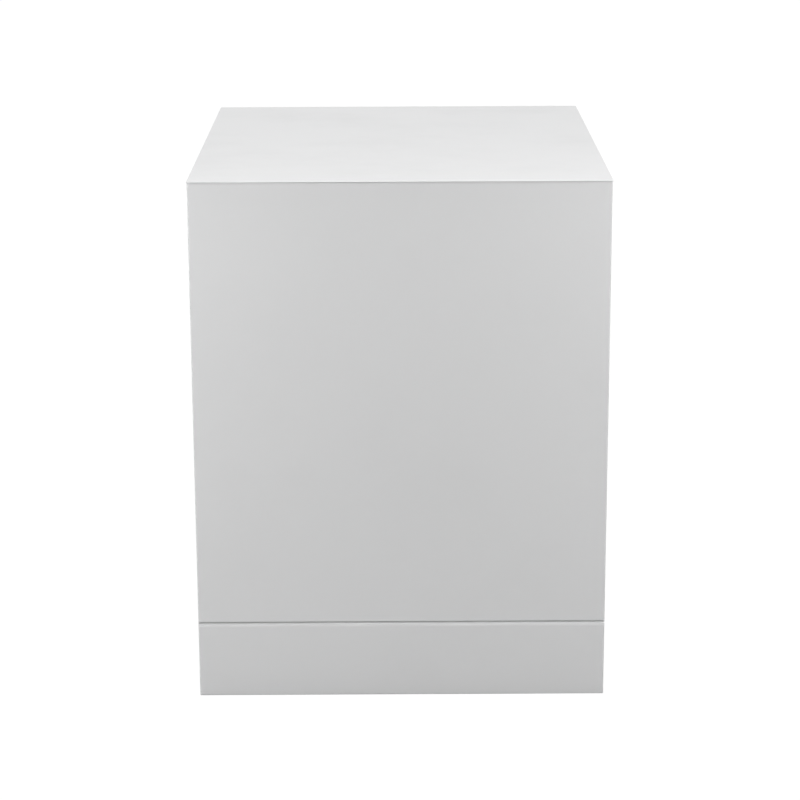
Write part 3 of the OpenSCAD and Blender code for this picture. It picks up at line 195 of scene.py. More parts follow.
def objectPoint(tree):
    found = [n for n in tree.nodes if n.type == "TEX_COORD"]
    node = found[0] if found else tree.nodes.new("ShaderNodeTexCoord")
    return node.outputs["Object"]


def stretchedPoint(tree, stretch):
    node = place(tree, "ShaderNodeMapping", {"Scale": stretch, "Vector": objectPoint(tree)})
    return node.outputs["Vector"]


def noiseAt(tree, scale, detail, roughness=0.5, vector=None):
    node = place(tree, "ShaderNodeTexNoise", {
        "Scale": scale, "Detail": detail, "Roughness": roughness, "Vector": vector or objectPoint(tree)})
    return node.outputs["Fac"]


peelSet = {"peelDetail": 1.5, "waveDetail": 1.0}


def makeOrangePeel():  # the fine skin of sprayed and coil-coated paint over a slightly wavy sheet
    tree, start, end = newGroup(
        "orangePeel", {"Peel Scale": 620.0, "Wave Scale": 5.0, "Wave Share": 6.0}, ["Height"])
    peel = noiseAt(tree, start.outputs["Peel Scale"], peelSet["peelDetail"])
    wave = noiseAt(tree, start.outputs["Wave Scale"], peelSet["waveDetail"])
    height = mathNode(tree, "MULTIPLY_ADD", wave, start.outputs["Wave Share"], peel)
    tree.links.new(height, end.inputs["Height"])
    return tree


smudgeSet = {"detail": 5.0, "roughness": 0.62, "clean": 0.42, "marked": 0.72}


def makeHandling():  # soft smudges, as a mask from 0 to 1
    tree, start, end = newGroup("handling", {"Smudge Scale": 9.0}, ["Smudge"])
    cloud = noiseAt(tree, start.outputs["Smudge Scale"], smudgeSet["detail"], smudgeSet["roughness"])
    mask = place(tree, "ShaderNodeMapRange", {
        "Value": cloud, "From Min": smudgeSet["clean"], "From Max": smudgeSet["marked"]},
        interpolation_type="SMOOTHSTEP")
    tree.links.new(mask.outputs[0], end.inputs["Smudge"])
    return tree


mouldSet = {"grainDetail": 2.0, "flowScale": 14.0, "flowDetail": 2.0, "flowStretch": (1.0, 1.0, 3.0)}


def makeMouldGrain():  # spark-eroded grain and faint flow marks of a moulding
    tree, start, end = newGroup(
        "mouldGrain", {"Grain Scale": 1500.0, "Flow Share": 1.5}, ["Height", "Tone"])
    grain = noiseAt(tree, start.outputs["Grain Scale"], mouldSet["grainDetail"])
    flow = noiseAt(tree, mouldSet["flowScale"], mouldSet["flowDetail"],
                   vector=stretchedPoint(tree, mouldSet["flowStretch"]))
    height = mathNode(tree, "MULTIPLY_ADD", flow, start.outputs["Flow Share"], grain)
    tree.links.new(height, end.inputs["Height"])
    tree.links.new(flow, end.inputs["Tone"])
    return tree


spangleSet = {"bendScale": 60.0, "bendReach": 8 * mm}


def makeSpangle():  # crystals of hot-dip zinc, with bent borders
    tree, start, end = newGroup("spangle", {"Crystal Scale": 95.0}, ["Crystal", "Edge"])
    bend = place(tree, "ShaderNodeTexNoise", {"Scale": spangleSet["bendScale"], "Vector": objectPoint(tree)})
    push = place(tree, "ShaderNodeVectorMath", {
        0: bend.outputs["Color"], "Scale": spangleSet["bendReach"]}, operation="SCALE")
    point = place(tree, "ShaderNodeVectorMath", {0: objectPoint(tree), 1: push.outputs[0]}, operation="ADD")
    where = {"Scale": start.outputs["Crystal Scale"], "Vector": point.outputs[0]}
    cells = place(tree, "ShaderNodeTexVoronoi", where)
    edges = place(tree, "ShaderNodeTexVoronoi", where, feature="DISTANCE_TO_EDGE")
    grey = place(tree, "ShaderNodeSeparateColor", {0: cells.outputs["Color"]})
    tree.links.new(grey.outputs[0], end.inputs["Crystal"])
    tree.links.new(edges.outputs["Distance"], end.inputs["Edge"])
    return tree


lineSet = {"detail": 3.0, "roughness": 0.6}


def makeDrawnLines():  # lines left by rolling, drawing or turning, along one axis
    tree, start, end = newGroup(
        "drawnLines", {"Line Scale": 900.0, "Stretch": (1.0, 1.0, 0.02)}, ["Lines"])
    lines = noiseAt(tree, start.outputs["Line Scale"], lineSet["detail"], lineSet["roughness"],
                    stretchedPoint(tree, start.outputs["Stretch"]))
    tree.links.new(lines, end.inputs["Lines"])
    return tree


groups = {
    "orangePeel": makeOrangePeel(), "handling": makeHandling(), "mouldGrain": makeMouldGrain(),
    "spangle": makeSpangle(), "drawnLines": makeDrawnLines(),
}
print("shader groups built")

# finishes, one for each material slot
#
# plain: numbers that are the same all over
# patterns: the shader groups in use, with their inputs
# mask: the pattern that leads the tone and the roughness from their first value to their second
# relief: the pattern that the bump follows, and its depth
# lampTint: what a clear part lets through of the lamps' light


def newMaterial(name, plain):
    material = bpy.data.materials.new(name)
    material.use_nodes = True
    tree = material.node_tree
    shader = tree.nodes["Principled BSDF"]
    for socket, value in plain.items():
        shader.inputs[socket].default_value = value
    return material, tree, shader


def placeGroup(tree, name, values):
    return place(tree, "ShaderNodeGroup", values, node_tree=groups[name])


def makeFinish(name, facts):
    material, tree, shader = newMaterial(name, facts.get("plain", {}))
    placed = {group: placeGroup(tree, group, values) for group, values in facts["patterns"].items()}
    pattern, output = facts["mask"]
    mask = placed[pattern].outputs[output]
    low, high = facts["rough"]
    rough = place(tree, "ShaderNodeMapRange", {"Value": mask, "To Min": low, "To Max": high})
    tree.links.new(rough.outputs[0], shader.inputs["Roughness"])
    if "tones" in facts:
        first, second = facts["tones"]
        tone = place(tree, "ShaderNodeMix", {"Factor": mask, "A": (*first, 1), "B": (*second, 1)},
                     data_type="RGBA")
        tree.links.new(tone.outputs["Result"], shader.inputs["Base Color"])
    if "relief" in facts:
        pattern, output, depth = facts["relief"]
        bump = place(tree, "ShaderNodeBump", {
            "Strength": 1.0, "Distance": depth, "Height": placed[pattern].outputs[output]})
        tree.links.new(bump.outputs["Normal"], shader.inputs["Normal"])
    if "lampTint" in facts:  # light reaches what stands behind the clear parts
        clear = place(tree, "ShaderNodeBsdfTransparent", {"Color": (*facts["lampTint"], 1)})
        mixByRay(tree, "Is Shadow Ray", shader, clear, "Material Output")
    return material


def whiteCoilCoat():
    return makeFinish("whiteCoilCoat", {
        "plain": {"Coat Weight": 0.06, "Coat Roughness": 0.25, "Specular IOR Level": 0.3},
        "patterns": {"orangePeel": {"Peel Scale": 620.0, "Wave Scale": 4.0, "Wave Share": 5.0},
                     "handling": {"Smudge Scale": 6.0}},
        "mask": ("handling", "Smudge"), "relief": ("orangePeel", "Height", 0.04 * mm),
        "tones": ((0.735, 0.737, 0.74), (0.722, 0.724, 0.727)), "rough": (0.34, 0.42)})


def galvanisedSheet():
    return makeFinish("galvanisedSheet", {
        "plain": {"Metallic": 1.0},
        "patterns": {"spangle": {"Crystal Scale": 170.0}},
        "mask": ("spangle", "Crystal"), "relief": ("spangle", "Edge", 0.03 * mm),
        "tones": ((0.6, 0.61, 0.62), (0.69, 0.7, 0.71)), "rough": (0.38, 0.48)})


def groundSteel():
    return makeFinish("groundSteel", {
        "plain": {"Metallic": 1.0},
        "patterns": {"drawnLines": {"Line Scale": 1600.0, "Stretch": (0.05, 0.05, 1.0)}},
        "mask": ("drawnLines", "Lines"),
        "tones": ((0.44, 0.44, 0.45), (0.6, 0.6, 0.61)), "rough": (0.16, 0.34)})


def zincPlate():
    return makeFinish("zincPlate", {
        "plain": {"Metallic": 1.0},
        "patterns": {"handling": {"Smudge Scale": 220.0}},
        "mask": ("handling", "Smudge"),
        "tones": ((0.62, 0.62, 0.6), (0.47, 0.47, 0.46)), "rough": (0.24, 0.45)})


def stovedBlack():
    return makeFinish("stovedBlack", {
        "plain": {"Coat Weight": 0.3, "Coat Roughness": 0.2},
        "patterns": {"orangePeel": {"Peel Scale": 900.0, "Wave Scale": 60.0, "Wave Share": 1.0},
                     "handling": {"Smudge Scale": 30.0}},
        "mask": ("handling", "Smudge"), "relief": ("orangePeel", "Height", 0.06 * mm),
        "tones": ((0.016, 0.016, 0.017), (0.045, 0.043, 0.041)), "rough": (0.3, 0.55)})


def compressorEnamel():
    return makeFinish("compressorEnamel", {
        "plain": {"Coat Weight": 0.5, "Coat Roughness": 0.12},
        "patterns": {"orangePeel": {"Peel Scale": 420.0, "Wave Scale": 30.0, "Wave Share": 1.5},
                     "handling": {"Smudge Scale": 18.0}},
        "mask": ("handling", "Smudge"), "relief": ("orangePeel", "Height", 0.1 * mm),
        "tones": ((0.012, 0.012, 0.013), (0.035, 0.034, 0.033)), "rough": (0.22, 0.5)})


def drawnCopper():
    return makeFinish("drawnCopper", {
        "plain": {"Metallic": 1.0},
        "patterns": {"handling": {"Smudge Scale": 70.0},
                     "drawnLines": {"Line Scale": 700.0, "Stretch": (1.0, 1.0, 0.03)}},
        "mask": ("handling", "Smudge"), "relief": ("drawnLines", "Lines", 0.03 * mm),
        "tones": ((0.86, 0.43, 0.29), (0.42, 0.2, 0.13)), "rough": (0.2, 0.42)})


def rollBondAluminium():
    return makeFinish("rollBondAluminium", {
        "plain": {"Metallic": 1.0},
        "patterns": {"drawnLines": {"Line Scale": 500.0, "Stretch": (1.0, 0.02, 1.0)}},
        "mask": ("drawnLines", "Lines"), "relief": ("drawnLines", "Lines", 0.04 * mm),
        "tones": ((0.68, 0.69, 0.7), (0.84, 0.85, 0.86)), "rough": (0.26, 0.46)})


def linerPlastic():
    return makeFinish("linerPlastic", {
        "plain": {"Coat Weight": 0.12, "Coat Roughness": 0.2},
        "patterns": {"mouldGrain": {"Grain Scale": 900.0, "Flow Share": 0.3},
                     "handling": {"Smudge Scale": 10.0}},
        "mask": ("handling", "Smudge"), "relief": ("mouldGrain", "Height", 0.02 * mm),
        "tones": ((0.8, 0.81, 0.812), (0.795, 0.805, 0.808)), "rough": (0.28, 0.31)})


def whiteMoulding():
    return makeFinish("whiteMoulding", {
        "patterns": {"mouldGrain": {"Grain Scale": 1700.0, "Flow Share": 0.8}},
        "mask": ("mouldGrain", "Tone"), "relief": ("mouldGrain", "Height", 0.05 * mm),
        "tones": ((0.74, 0.75, 0.752), (0.78, 0.79, 0.79)), "rough": (0.32, 0.44)})


def clearCrystal():
    return makeFinish("clearCrystal", {
        "plain": {"Transmission Weight": 0.92, "IOR": 1.58, "Base Color": (0.93, 0.96, 0.975, 1)},
        "patterns": {"handling": {"Smudge Scale": 20.0},
                     "mouldGrain": {"Grain Scale": 90.0, "Flow Share": 2.0}},
        "mask": ("handling", "Smudge"), "relief": ("mouldGrain", "Height", 0.03 * mm),
        "rough": (0.03, 0.12), "lampTint": (0.9, 0.93, 0.945)})


def shelfGlass():
    return makeFinish("shelfGlass", {
        "plain": {"Transmission Weight": 1.0, "IOR": 1.52, "Base Color": (0.84, 0.95, 0.91, 1)},
        "patterns": {"handling": {"Smudge Scale": 14.0}},
        "mask": ("handling", "Smudge"), "rough": (0.01, 0.07), "lampTint": (0.88, 0.94, 0.92)})


def curedFoam():
    return makeFinish("curedFoam", {
        "patterns": {"mouldGrain": {"Grain Scale": 900.0, "Flow Share": 3.0}},
        "mask": ("mouldGrain", "Tone"), "relief": ("mouldGrain", "Height", 0.6 * mm),
        "tones": ((0.62, 0.5, 0.26), (0.8, 0.7, 0.44)), "rough": (0.85, 0.95)})


def sealVinyl():
    return makeFinish("sealVinyl", {
        "patterns": {"mouldGrain": {"Grain Scale": 1100.0, "Flow Share": 2.0}},
        "mask": ("mouldGrain", "Tone"), "relief": ("mouldGrain", "Height", 0.1 * mm),
        "tones": ((0.6, 0.61, 0.61), (0.68, 0.69, 0.69)), "rough": (0.5, 0.66)})


def blackRubber():
    return makeFinish("blackRubber", {
        "patterns": {"mouldGrain": {"Grain Scale": 800.0, "Flow Share": 1.0}},
        "mask": ("mouldGrain", "Tone"), "relief": ("mouldGrain", "Height", 0.1 * mm),
        "tones": ((0.018, 0.018, 0.018), (0.035, 0.034, 0.033)), "rough": (0.62, 0.74)})


def greyNylon():
    return makeFinish("greyNylon", {
        "patterns": {"mouldGrain": {"Grain Scale": 1200.0, "Flow Share": 1.0}},
        "mask": ("mouldGrain", "Tone"), "relief": ("mouldGrain", "Height", 0.1 * mm),
        "tones": ((0.28, 0.29, 0.3), (0.36, 0.37, 0.38)), "rough": (0.4, 0.52)})


def blackPlastic():
    return makeFinish("blackPlastic", {
        "patterns": {"mouldGrain": {"Grain Scale": 1400.0, "Flow Share": 1.0}},
        "mask": ("mouldGrain", "Tone"), "relief": ("mouldGrain", "Height", 0.1 * mm),
        "tones": ((0.02, 0.02, 0.021), (0.034, 0.034, 0.035)), "rough": (0.42, 0.54)})


finishes = {
    "white_steel": whiteCoilCoat(),
    "galvanised_steel": galvanisedSheet(),
    "hardened_steel": groundSteel(),
    "zinc_screws": zincPlate(),
    "black_steel": stovedBlack(),
    "compressor_black": compressorEnamel(),
    "copper": drawnCopper(),
    "aluminium_sheet": rollBondAluminium(),
    "white_liner": linerPlastic(),
    "white_moulding": whiteMoulding(),
    "clear_moulding": clearCrystal(),
    "shelf_glass": shelfGlass(),
    "insulation_foam": curedFoam(),
    "seal_vinyl": sealVinyl(),
    "black_rubber": blackRubber(),
    "grey_nylon": greyNylon(),
    "black_plastic": blackPlastic(),
}

for node, cadObject in frame["nodes"].items():
    cadObject.data.materials.clear()
    cadObject.data.materials.append(finishes[slotOf[node]])
print("finishes placed on", len(frame["nodes"]), "nodes")

# reading the solids and making pieces


def looseSolids(node):  # the lowest and highest corner of each separate solid, always in the same order
    work = bmesh.new()
    work.from_mesh(frame["nodes"][node].data)
    bmesh.ops.remove_doubles(work, verts=work.verts, dist=near)
    unseen = set(work.verts)
    boxes = []
    while unseen:
        reached = [unseen.pop()]
        low, high = reached[0].co.copy(), reached[0].co.copy()
        while reached:
            vert = reached.pop()
            for axis in range(3):
                low[axis] = min(low[axis], vert.co[axis])
                high[axis] = max(high[axis], vert.co[axis])
            for edge in vert.link_edges:
                other = edge.other_vert(vert)
                if other in unseen:
                    unseen.remove(other)
                    reached.append(other)
        boxes.append((low, high))
    work.free()
    return sorted(boxes, key=lambda box: [round(value, decimals) for value in box[0]])


def skinLoops(work, loops):  # walls from each loop of vertices to the next, and both ends closed
    for lower, upper in zip(loops, loops[1:]):
        for i in range(len(lower)):
            j = (i + 1) % len(lower)
            work.faces.new((lower[i], lower[j], upper[j], upper[i]))
    work.faces.new(list(reversed(loops[0])))
    work.faces.new(loops[-1])


def addPiece(name, work, finish):  # a finished bmesh becomes an object with its place in its mesh
    mesh = bpy.data.meshes.new(name)
    work.to_mesh(mesh)
    work.free()
    mesh.materials.append(finish)
    return newObject(name, mesh)


def plainMesh(carrier):  # the object as it is evaluated
    return bpy.data.meshes.new_from_object(carrier.evaluated_get(bpy.context.evaluated_depsgraph_get()))


def newGeometryTree(name, inputs):
    tree = bpy.data.node_groups.new(name, "GeometryNodeTree")
    tree.is_modifier = True
    tree.interface.new_socket(name="Geometry", in_out="INPUT", socket_type="NodeSocketGeometry")
    for label, kind in inputs:
        tree.interface.new_socket(name=label, in_out="INPUT", socket_type="NodeSocket" + kind)
    tree.interface.new_socket(name="Geometry", in_out="OUTPUT", socket_type="NodeSocketGeometry")
    return tree, tree.nodes.new("NodeGroupInput"), tree.nodes.new("NodeGroupOutput")


def vectorOf(tree, x, y, z):
    return place(tree, "ShaderNodeCombineXYZ", {"X": x, "Y": y, "Z": z}).outputs[0]


def rowOf(tree, count, step, start):  # a straight row of points
    row = place(tree, "GeometryNodeMeshLine", {"Count": count, "Offset": step, "Start Location": start})
    return row.outputs[0]


def randomBetween(tree, seed, low, high):
    node = place(tree, "FunctionNodeRandomValue", {"Seed": seed}, data_type="FLOAT")
    node.inputs[2].default_value, node.inputs[3].default_value = low, high
    return node.outputs[1]


def finishTree(tree, end, geometry, finish):  # instances become real faces with one finish
    real = place(tree, "GeometryNodeRealizeInstances", {"Geometry": geometry})
    coated = place(tree, "GeometryNodeSetMaterial", {"Geometry": real.outputs[0], "Material": finish})
    tree.links.new(coated.outputs[0], end.inputs[0])


def growPiece(name, carrierMesh, tree, values):  # what the tree makes of the mesh, as a piece of its own
    carrier = newObject(name + "Carrier", carrierMesh)
    modifier = carrier.modifiers.new(name, "NODES")
    modifier.node_group = tree
    for item in tree.interface.items_tree:
        if item.item_type == "SOCKET" and item.in_out == "INPUT" and item.name in values:
            modifier[item.identifier] = values[item.name]
    mesh = plainMesh(carrier)
    carrier.modifiers.remove(modifier)
    bpy.data.objects.remove(carrier)
    mesh.name = name
    return newObject(name, mesh)


# the wires of the condenser, with nipped ends, and a fused nugget where each one crosses the tube

wireSet = {
    "sides": 10, "nip": 0.6 * mm, "nipShare": 0.55, "joinWithin": 0.02 * mm,
    "nuggetWide": 1.25 * mm, "nuggetTall": 1.9 * mm, "nuggetDeep": 0.75 * mm,
    "nuggetSegments": 8, "nuggetRings": 5, "lumpScale": 1.3,
    "sunk": 0.7,  # share of the wire's radius that a nugget lies nearer to the tube
    "smallest": 0.85, "largest": 1.2, "lean": 0.35, "seed": 7,
    "runLeast": 200 * mm, "runsApart": 8 * mm,  # what tells the tube's level runs from its bends
}


def runLevels():  # the heights of the tube's level runs
    mesh = frame["nodes"]["condenser_tube"].data
    heights = []
    for edge in mesh.edges:
        first, second = (mesh.vertices[i].co for i in edge.vertices)
        if abs(first.x - second.x) > wireSet["runLeast"]:
            heights.append((first.z + second.z) / 2)
    heights.sort()
    runs = [[heights[0]]]
    for height in heights[1:]:
        if height - runs[-1][-1] > wireSet["runsApart"]:
            runs.append([])
        runs[-1].append(height)
    return [(min(run) + max(run)) / 2 for run in runs]


def nippedWire(tree, facts):  # one round bar with a nipped cone at each end
    nipped = mathNode(tree, "MULTIPLY", facts["Wire Radius"], facts["Nip Share"])
    barLength = mathNode(tree, "MULTIPLY_ADD", facts["Nip"], -2, facts["Length"])
    bar = place(tree, "GeometryNodeMeshCylinder", {
        "Vertices": facts["Sides"], "Radius": facts["Wire Radius"], "Depth": barLength}, fill_type="NONE")
    tip = place(tree, "GeometryNodeMeshCone", {
        "Vertices": facts["Sides"], "Radius Top": nipped, "Radius Bottom": facts["Wire Radius"],
        "Depth": facts["Nip"]}, fill_type="NGON")
    halfBar = mathNode(tree, "MULTIPLY", barLength, 0.5)
    below = mathNode(tree, "MULTIPLY", halfBar, -1)
    upper = place(tree, "GeometryNodeTransform", {
        "Geometry": tip.outputs[0], "Translation": vectorOf(tree, 0.0, 0.0, halfBar)})
    lower = place(tree, "GeometryNodeTransform", {
        "Geometry": tip.outputs[0], "Translation": vectorOf(tree, 0.0, 0.0, below),
        "Rotation": (math.pi, 0.0, 0.0)})
    joined = tree.nodes.new("GeometryNodeJoinGeometry")
    for part in (bar, upper, lower):
        tree.links.new(part.outputs[0], joined.inputs[0])
    merged = place(tree, "GeometryNodeMergeByDistance", {
        "Geometry": joined.outputs[0], "Distance": wireSet["joinWithin"]})
    return merged.outputs[0]


def weldNugget(tree, facts):  # a flattened ball, made lumpy
    ball = place(tree, "GeometryNodeMeshUVSphere", {
        "Segments": wireSet["nuggetSegments"], "Rings": wireSet["nuggetRings"], "Radius": 1.0})
    rough = place(tree, "ShaderNodeTexNoise", {"Scale": wireSet["lumpScale"]})
    push = place(tree, "ShaderNodeVectorMath", {
        0: rough.outputs["Color"], 1: (0.5, 0.5, 0.5)}, operation="SUBTRACT")
    lumpy = place(tree, "GeometryNodeSetPosition", {
        "Geometry": ball.outputs[0], "Offset": push.outputs[0]})
    nugget = place(tree, "GeometryNodeTransform", {
        "Geometry": lumpy.outputs[0], "Scale": facts["Nugget Size"]})
    return nugget.outputs[0]


def wireTree():
    tree, start, end = newGeometryTree("wireGrid", [
        ("Wire Count", "Int"), ("Run Count", "Int"), ("Pitch", "Float"), ("Run Pitch", "Float"),
        ("First Wire", "Float"), ("First Run", "Float"), ("Low End", "Float"), ("Length", "Float"),
        ("Wire Radius", "Float"), ("Sides", "Int"), ("Nip", "Float"), ("Nip Share", "Float"),
        ("Front Row", "Float"), ("Rear Row", "Float"), ("Front Weld", "Float"), ("Rear Weld", "Float"),
        ("Nugget Size", "Vector"), ("Seed", "Int"), ("Finish", "Material")])
    facts = start.outputs
    oneWire, nugget = nippedWire(tree, facts), weldNugget(tree, facts)
    middle = mathNode(tree, "MULTIPLY_ADD", facts["Length"], 0.5, facts["Low End"])
    pitch = vectorOf(tree, facts["Pitch"], 0.0, 0.0)
    runPitch = vectorOf(tree, 0.0, 0.0, facts["Run Pitch"])
    upward = rowOf(tree, facts["Run Count"], runPitch, (0.0, 0.0, 0.0))
    size = randomBetween(tree, facts["Seed"], wireSet["smallest"], wireSet["largest"])
    lean = randomBetween(tree, facts["Seed"], -wireSet["lean"], wireSet["lean"])
    everything = tree.nodes.new("GeometryNodeJoinGeometry")
    for row in ("Front", "Rear"):  # one row of wires on each side of the tube
        line = rowOf(tree, facts["Wire Count"], pitch,
                     vectorOf(tree, facts["First Wire"], facts[row + " Row"], middle))
        wires = place(tree, "GeometryNodeInstanceOnPoints", {"Points": line, "Instance": oneWire})

        # the welds stand where every wire of the row crosses every run
        across = rowOf(tree, facts["Wire Count"], pitch,
                       vectorOf(tree, facts["First Wire"], facts[row + " Weld"], facts["First Run"]))
        grid = place(tree, "GeometryNodeInstanceOnPoints", {"Points": upward, "Instance": across})
        spots = place(tree, "GeometryNodeRealizeInstances", {"Geometry": grid.outputs[0]})
        welds = place(tree, "GeometryNodeInstanceOnPoints", {
            "Points": spots.outputs[0], "Instance": nugget, "Rotation": vectorOf(tree, 0.0, lean, 0.0),
            "Scale": size})
        for made in (wires, welds):
            tree.links.new(made.outputs[0], everything.inputs[0])
    finishTree(tree, end, everything.outputs[0], facts["Finish"])
    return tree


def makeWires():
    solids = looseSolids("condenser_wires")
    across = sorted({round((low.x + high.x) / 2, decimals) for low, high in solids})
    rows = sorted({round((low.y + high.y) / 2, decimals) for low, high in solids})
    radius = (solids[0][1].x - solids[0][0].x) / 2
    sunk = radius * wireSet["sunk"]
    lowEnd, highEnd = min(low.z for low, high in solids), max(high.z for low, high in solids)
    levels = runLevels()
    print("condenser:", 2 * len(across), "wires across", len(levels), "runs")
    piece = growPiece("condenserWireGrid", bpy.data.meshes.new("wirePlaces"), wireTree(), {
        "Wire Count": len(across), "Run Count": len(levels),
        "Pitch": (across[-1] - across[0]) / (len(across) - 1),
        "Run Pitch": (levels[-1] - levels[0]) / (len(levels) - 1),
        "First Wire": across[0], "First Run": levels[0],
        "Low End": lowEnd, "Length": highEnd - lowEnd, "Wire Radius": radius, "Sides": wireSet["sides"],
        "Nip": wireSet["nip"], "Nip Share": wireSet["nipShare"],
        "Front Row": rows[0], "Rear Row": rows[-1],
        "Front Weld": rows[0] + sunk, "Rear Weld": rows[-1] - sunk,
        "Nugget Size": (wireSet["nuggetWide"], wireSet["nuggetDeep"], wireSet["nuggetTall"]),
        "Seed": wireSet["seed"], "Finish": finishes["black_steel"]})
    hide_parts("condenser_wires")
    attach(piece, bodyOf["condenser_wires"])


makeWires()
print("condenser wires made")

# the screws of the back panel, each with a cross recess that stopped at its own angle

screwSet = {
    "shank": 0.42,  # share of the head's radius
    # shares of the head's radius and height, from its underside up to the crown
    "head": ((0.97, 0), (1, 0.12), (1, 0.5), (0.96, 0.66), (0.86, 0.847), (0.74, 0.949)),
    "armLong": 0.58, "armWide": 0.2,  # the cross's arms, as shares of the head's radius
    "recess": ((1.06, 1), (1, 0.94), (0.7, 0.38)),  # shares of the arms and of the head's height
    "cornerEase": 1.35, "seed": 3,
}


def crossHead(radius, height, shank):  # one pan head along +Z, with its recess and shank
    armLong, armWide = radius * screwSet["armLong"], radius * screwSet["armWide"]
    corner = math.atan2(armWide, armLong)
    eased = corner * screwSet["cornerEase"]
    quarter = [0.0, corner, eased, math.pi / 4, math.pi / 2 - eased, math.pi / 2 - corner]
    angles = [q * math.pi / 2 + a for q in range(4) for a in quarter]

    def crossReach(angle):  # from the middle to the cross's outline
        folded = angle % (math.pi / 2)
        folded = min(folded, math.pi / 2 - folded)
        return armLong / math.cos(folded) if folded <= corner + near else armWide / math.sin(folded)

    circle, cross = [radius] * len(angles), [crossReach(a) for a in angles]
    rings = [(circle, screwSet["shank"], -shank), (circle, screwSet["shank"], 0)]
    rings += [(circle, wide, height * tall) for wide, tall in screwSet["head"]]
    rings += [(cross, share, height * tall) for share, tall in screwSet["recess"]]
    work = bmesh.new()
    skinLoops(work, [[work.verts.new((reach * share * math.cos(a), reach * share * math.sin(a), z))
                      for reach, a in zip(outline, angles)] for outline, share, z in rings])
    bmesh.ops.recalc_face_normals(work, faces=work.faces)
    return work


def screwTree():
    tree, start, end = newGeometryTree("screwSet", [
        ("Head", "Object"), ("Seed", "Int"), ("Finish", "Material")])
    facts = start.outputs
    facing = place(tree, "GeometryNodeInputNamedAttribute", data_type="FLOAT_VECTOR")
    facing.inputs["Name"].default_value = "facing"
    stand = place(tree, "FunctionNodeAlignRotationToVector", {
        "Vector": facing.outputs["Attribute"]}, axis="Z")
    angle = randomBetween(tree, facts["Seed"], 0.0, math.pi / 2)
    spin = place(tree, "FunctionNodeAxisAngleToRotation", {"Axis": (0.0, 0.0, 1.0), "Angle": angle})
    turn = place(tree, "FunctionNodeRotateRotation", {
        "Rotation": stand.outputs[0], "Rotate By": spin.outputs[0]}, rotation_space="LOCAL")
    head = place(tree, "GeometryNodeObjectInfo", {"Object": facts["Head"]}, transform_space="ORIGINAL")
    heads = place(tree, "GeometryNodeInstanceOnPoints", {
        "Points": facts["Geometry"], "Instance": head.outputs["Geometry"], "Rotation": turn.outputs[0]})
    finishTree(tree, end, heads.outputs[0], facts["Finish"])
    return tree


def makeScrews():
    solids = looseSolids("panel_screws")
    low, high = solids[0]
    rim = [v.co.y for v in frame["nodes"]["panel_screws"].data.vertices if abs(v.co.x - high.x) < near]
    panelBack = min(rim)  # the underside of a head, where it is widest
    head = addPiece("crossHead", crossHead((high.x - low.x) / 2, high.y - panelBack, panelBack - low.y),
                    finishes["zinc_screws"])
    points = bpy.data.meshes.new("screwPlaces")
    points.from_pydata([((a.x + b.x) / 2, panelBack, (a.z + b.z) / 2) for a, b in solids], [], [])
    facing = points.attributes.new("facing", "FLOAT_VECTOR", "POINT")
    facing.data.foreach_set("vector", [0.0, 1.0, 0.0] * len(solids))
    piece = growPiece("backPanelScrews", points, screwTree(),
                      {"Head": head, "Seed": screwSet["seed"], "Finish": finishes["zinc_screws"]})
    bpy.data.objects.remove(head)
    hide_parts("panel_screws")
    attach(piece, bodyOf["panel_screws"])
    print("back panel screws:", len(solids))


makeScrews()

# numbers and ticks round the thermostat knob, and the paint in its mark

dialSet = {
    "lowest": 0, "highest": 7, "sweep": 270, "restY": 0.7071, "restZ": -0.7071,
    "gap": 4.4 * mm, "tall": 5.2 * mm, "proud": 0.12 * mm, "joinWithin": 0.0001 * mm,
    "tickLong": 1.8 * mm, "tickWide": 0.5 * mm, "tickGap": 0.35 * mm, "tickSunk": 0.02 * mm,
    "tickTip": 0.6,  # share of a tick's width that is left at its outer end
    "ticksBetween": 1, "atNumber": 0.9, "between": 0.55,  # shares of a tick's length
    "markStart": 0.3, "markEnd": 0.79,  # shares of the knob's radius
    "markWide": 1.3 * mm, "markDeep": 0.75 * mm, "markShy": 0.2 * mm,
    "markTip": 0.4,  # share of the mark's width that is left at its inner end
}


def dialPrint():
    return makeFinish("dialPrint", {
        "patterns": {"handling": {"Smudge Scale": 160.0}},
        "mask": ("handling", "Smudge"),
        "tones": ((0.05, 0.055, 0.06), (0.12, 0.125, 0.13)), "rough": (0.4, 0.55)})


def dialDirection(angle):  # (y, z) at a turn in degrees from the knob's rest
    turn = math.radians(angle)
    y, z = dialSet["restY"], dialSet["restZ"]
    return y * math.cos(turn) - z * math.sin(turn), y * math.sin(turn) + z * math.cos(turn)


def addNumber(work, number, faceX, y, z):  # a flat figure that reads from -X, with Z up
    upright = Matrix(((0, 0, -1, 0), (-1, 0, 0, 0), (0, 1, 0, 0), (0, 0, 0, 1)))
    text = bpy.data.curves.new("dialNumber", "FONT")
    text.body = str(number)
    text.size = dialSet["tall"]
    text.align_x, text.align_y = "CENTER", "CENTER"
    text.extrude = dialSet["proud"] / 2
    carrier = newObject("dialNumber", text)
    mesh = plainMesh(carrier)
    bpy.data.objects.remove(carrier)
    mesh.transform(Matrix.Translation((faceX - dialSet["proud"] / 2, y, z)) @ upright)
    work.from_mesh(mesh)
    bpy.data.meshes.remove(mesh)


def addRaised(work, outline, middle, angle, levels):  # the outline's points are (outward, sideways)
    y, z = dialDirection(angle)
    skinLoops(work, [[work.verts.new((x, middle[0] + y * out - z * side, middle[1] + z * out + y * side))
                      for out, side in outline] for x in levels])


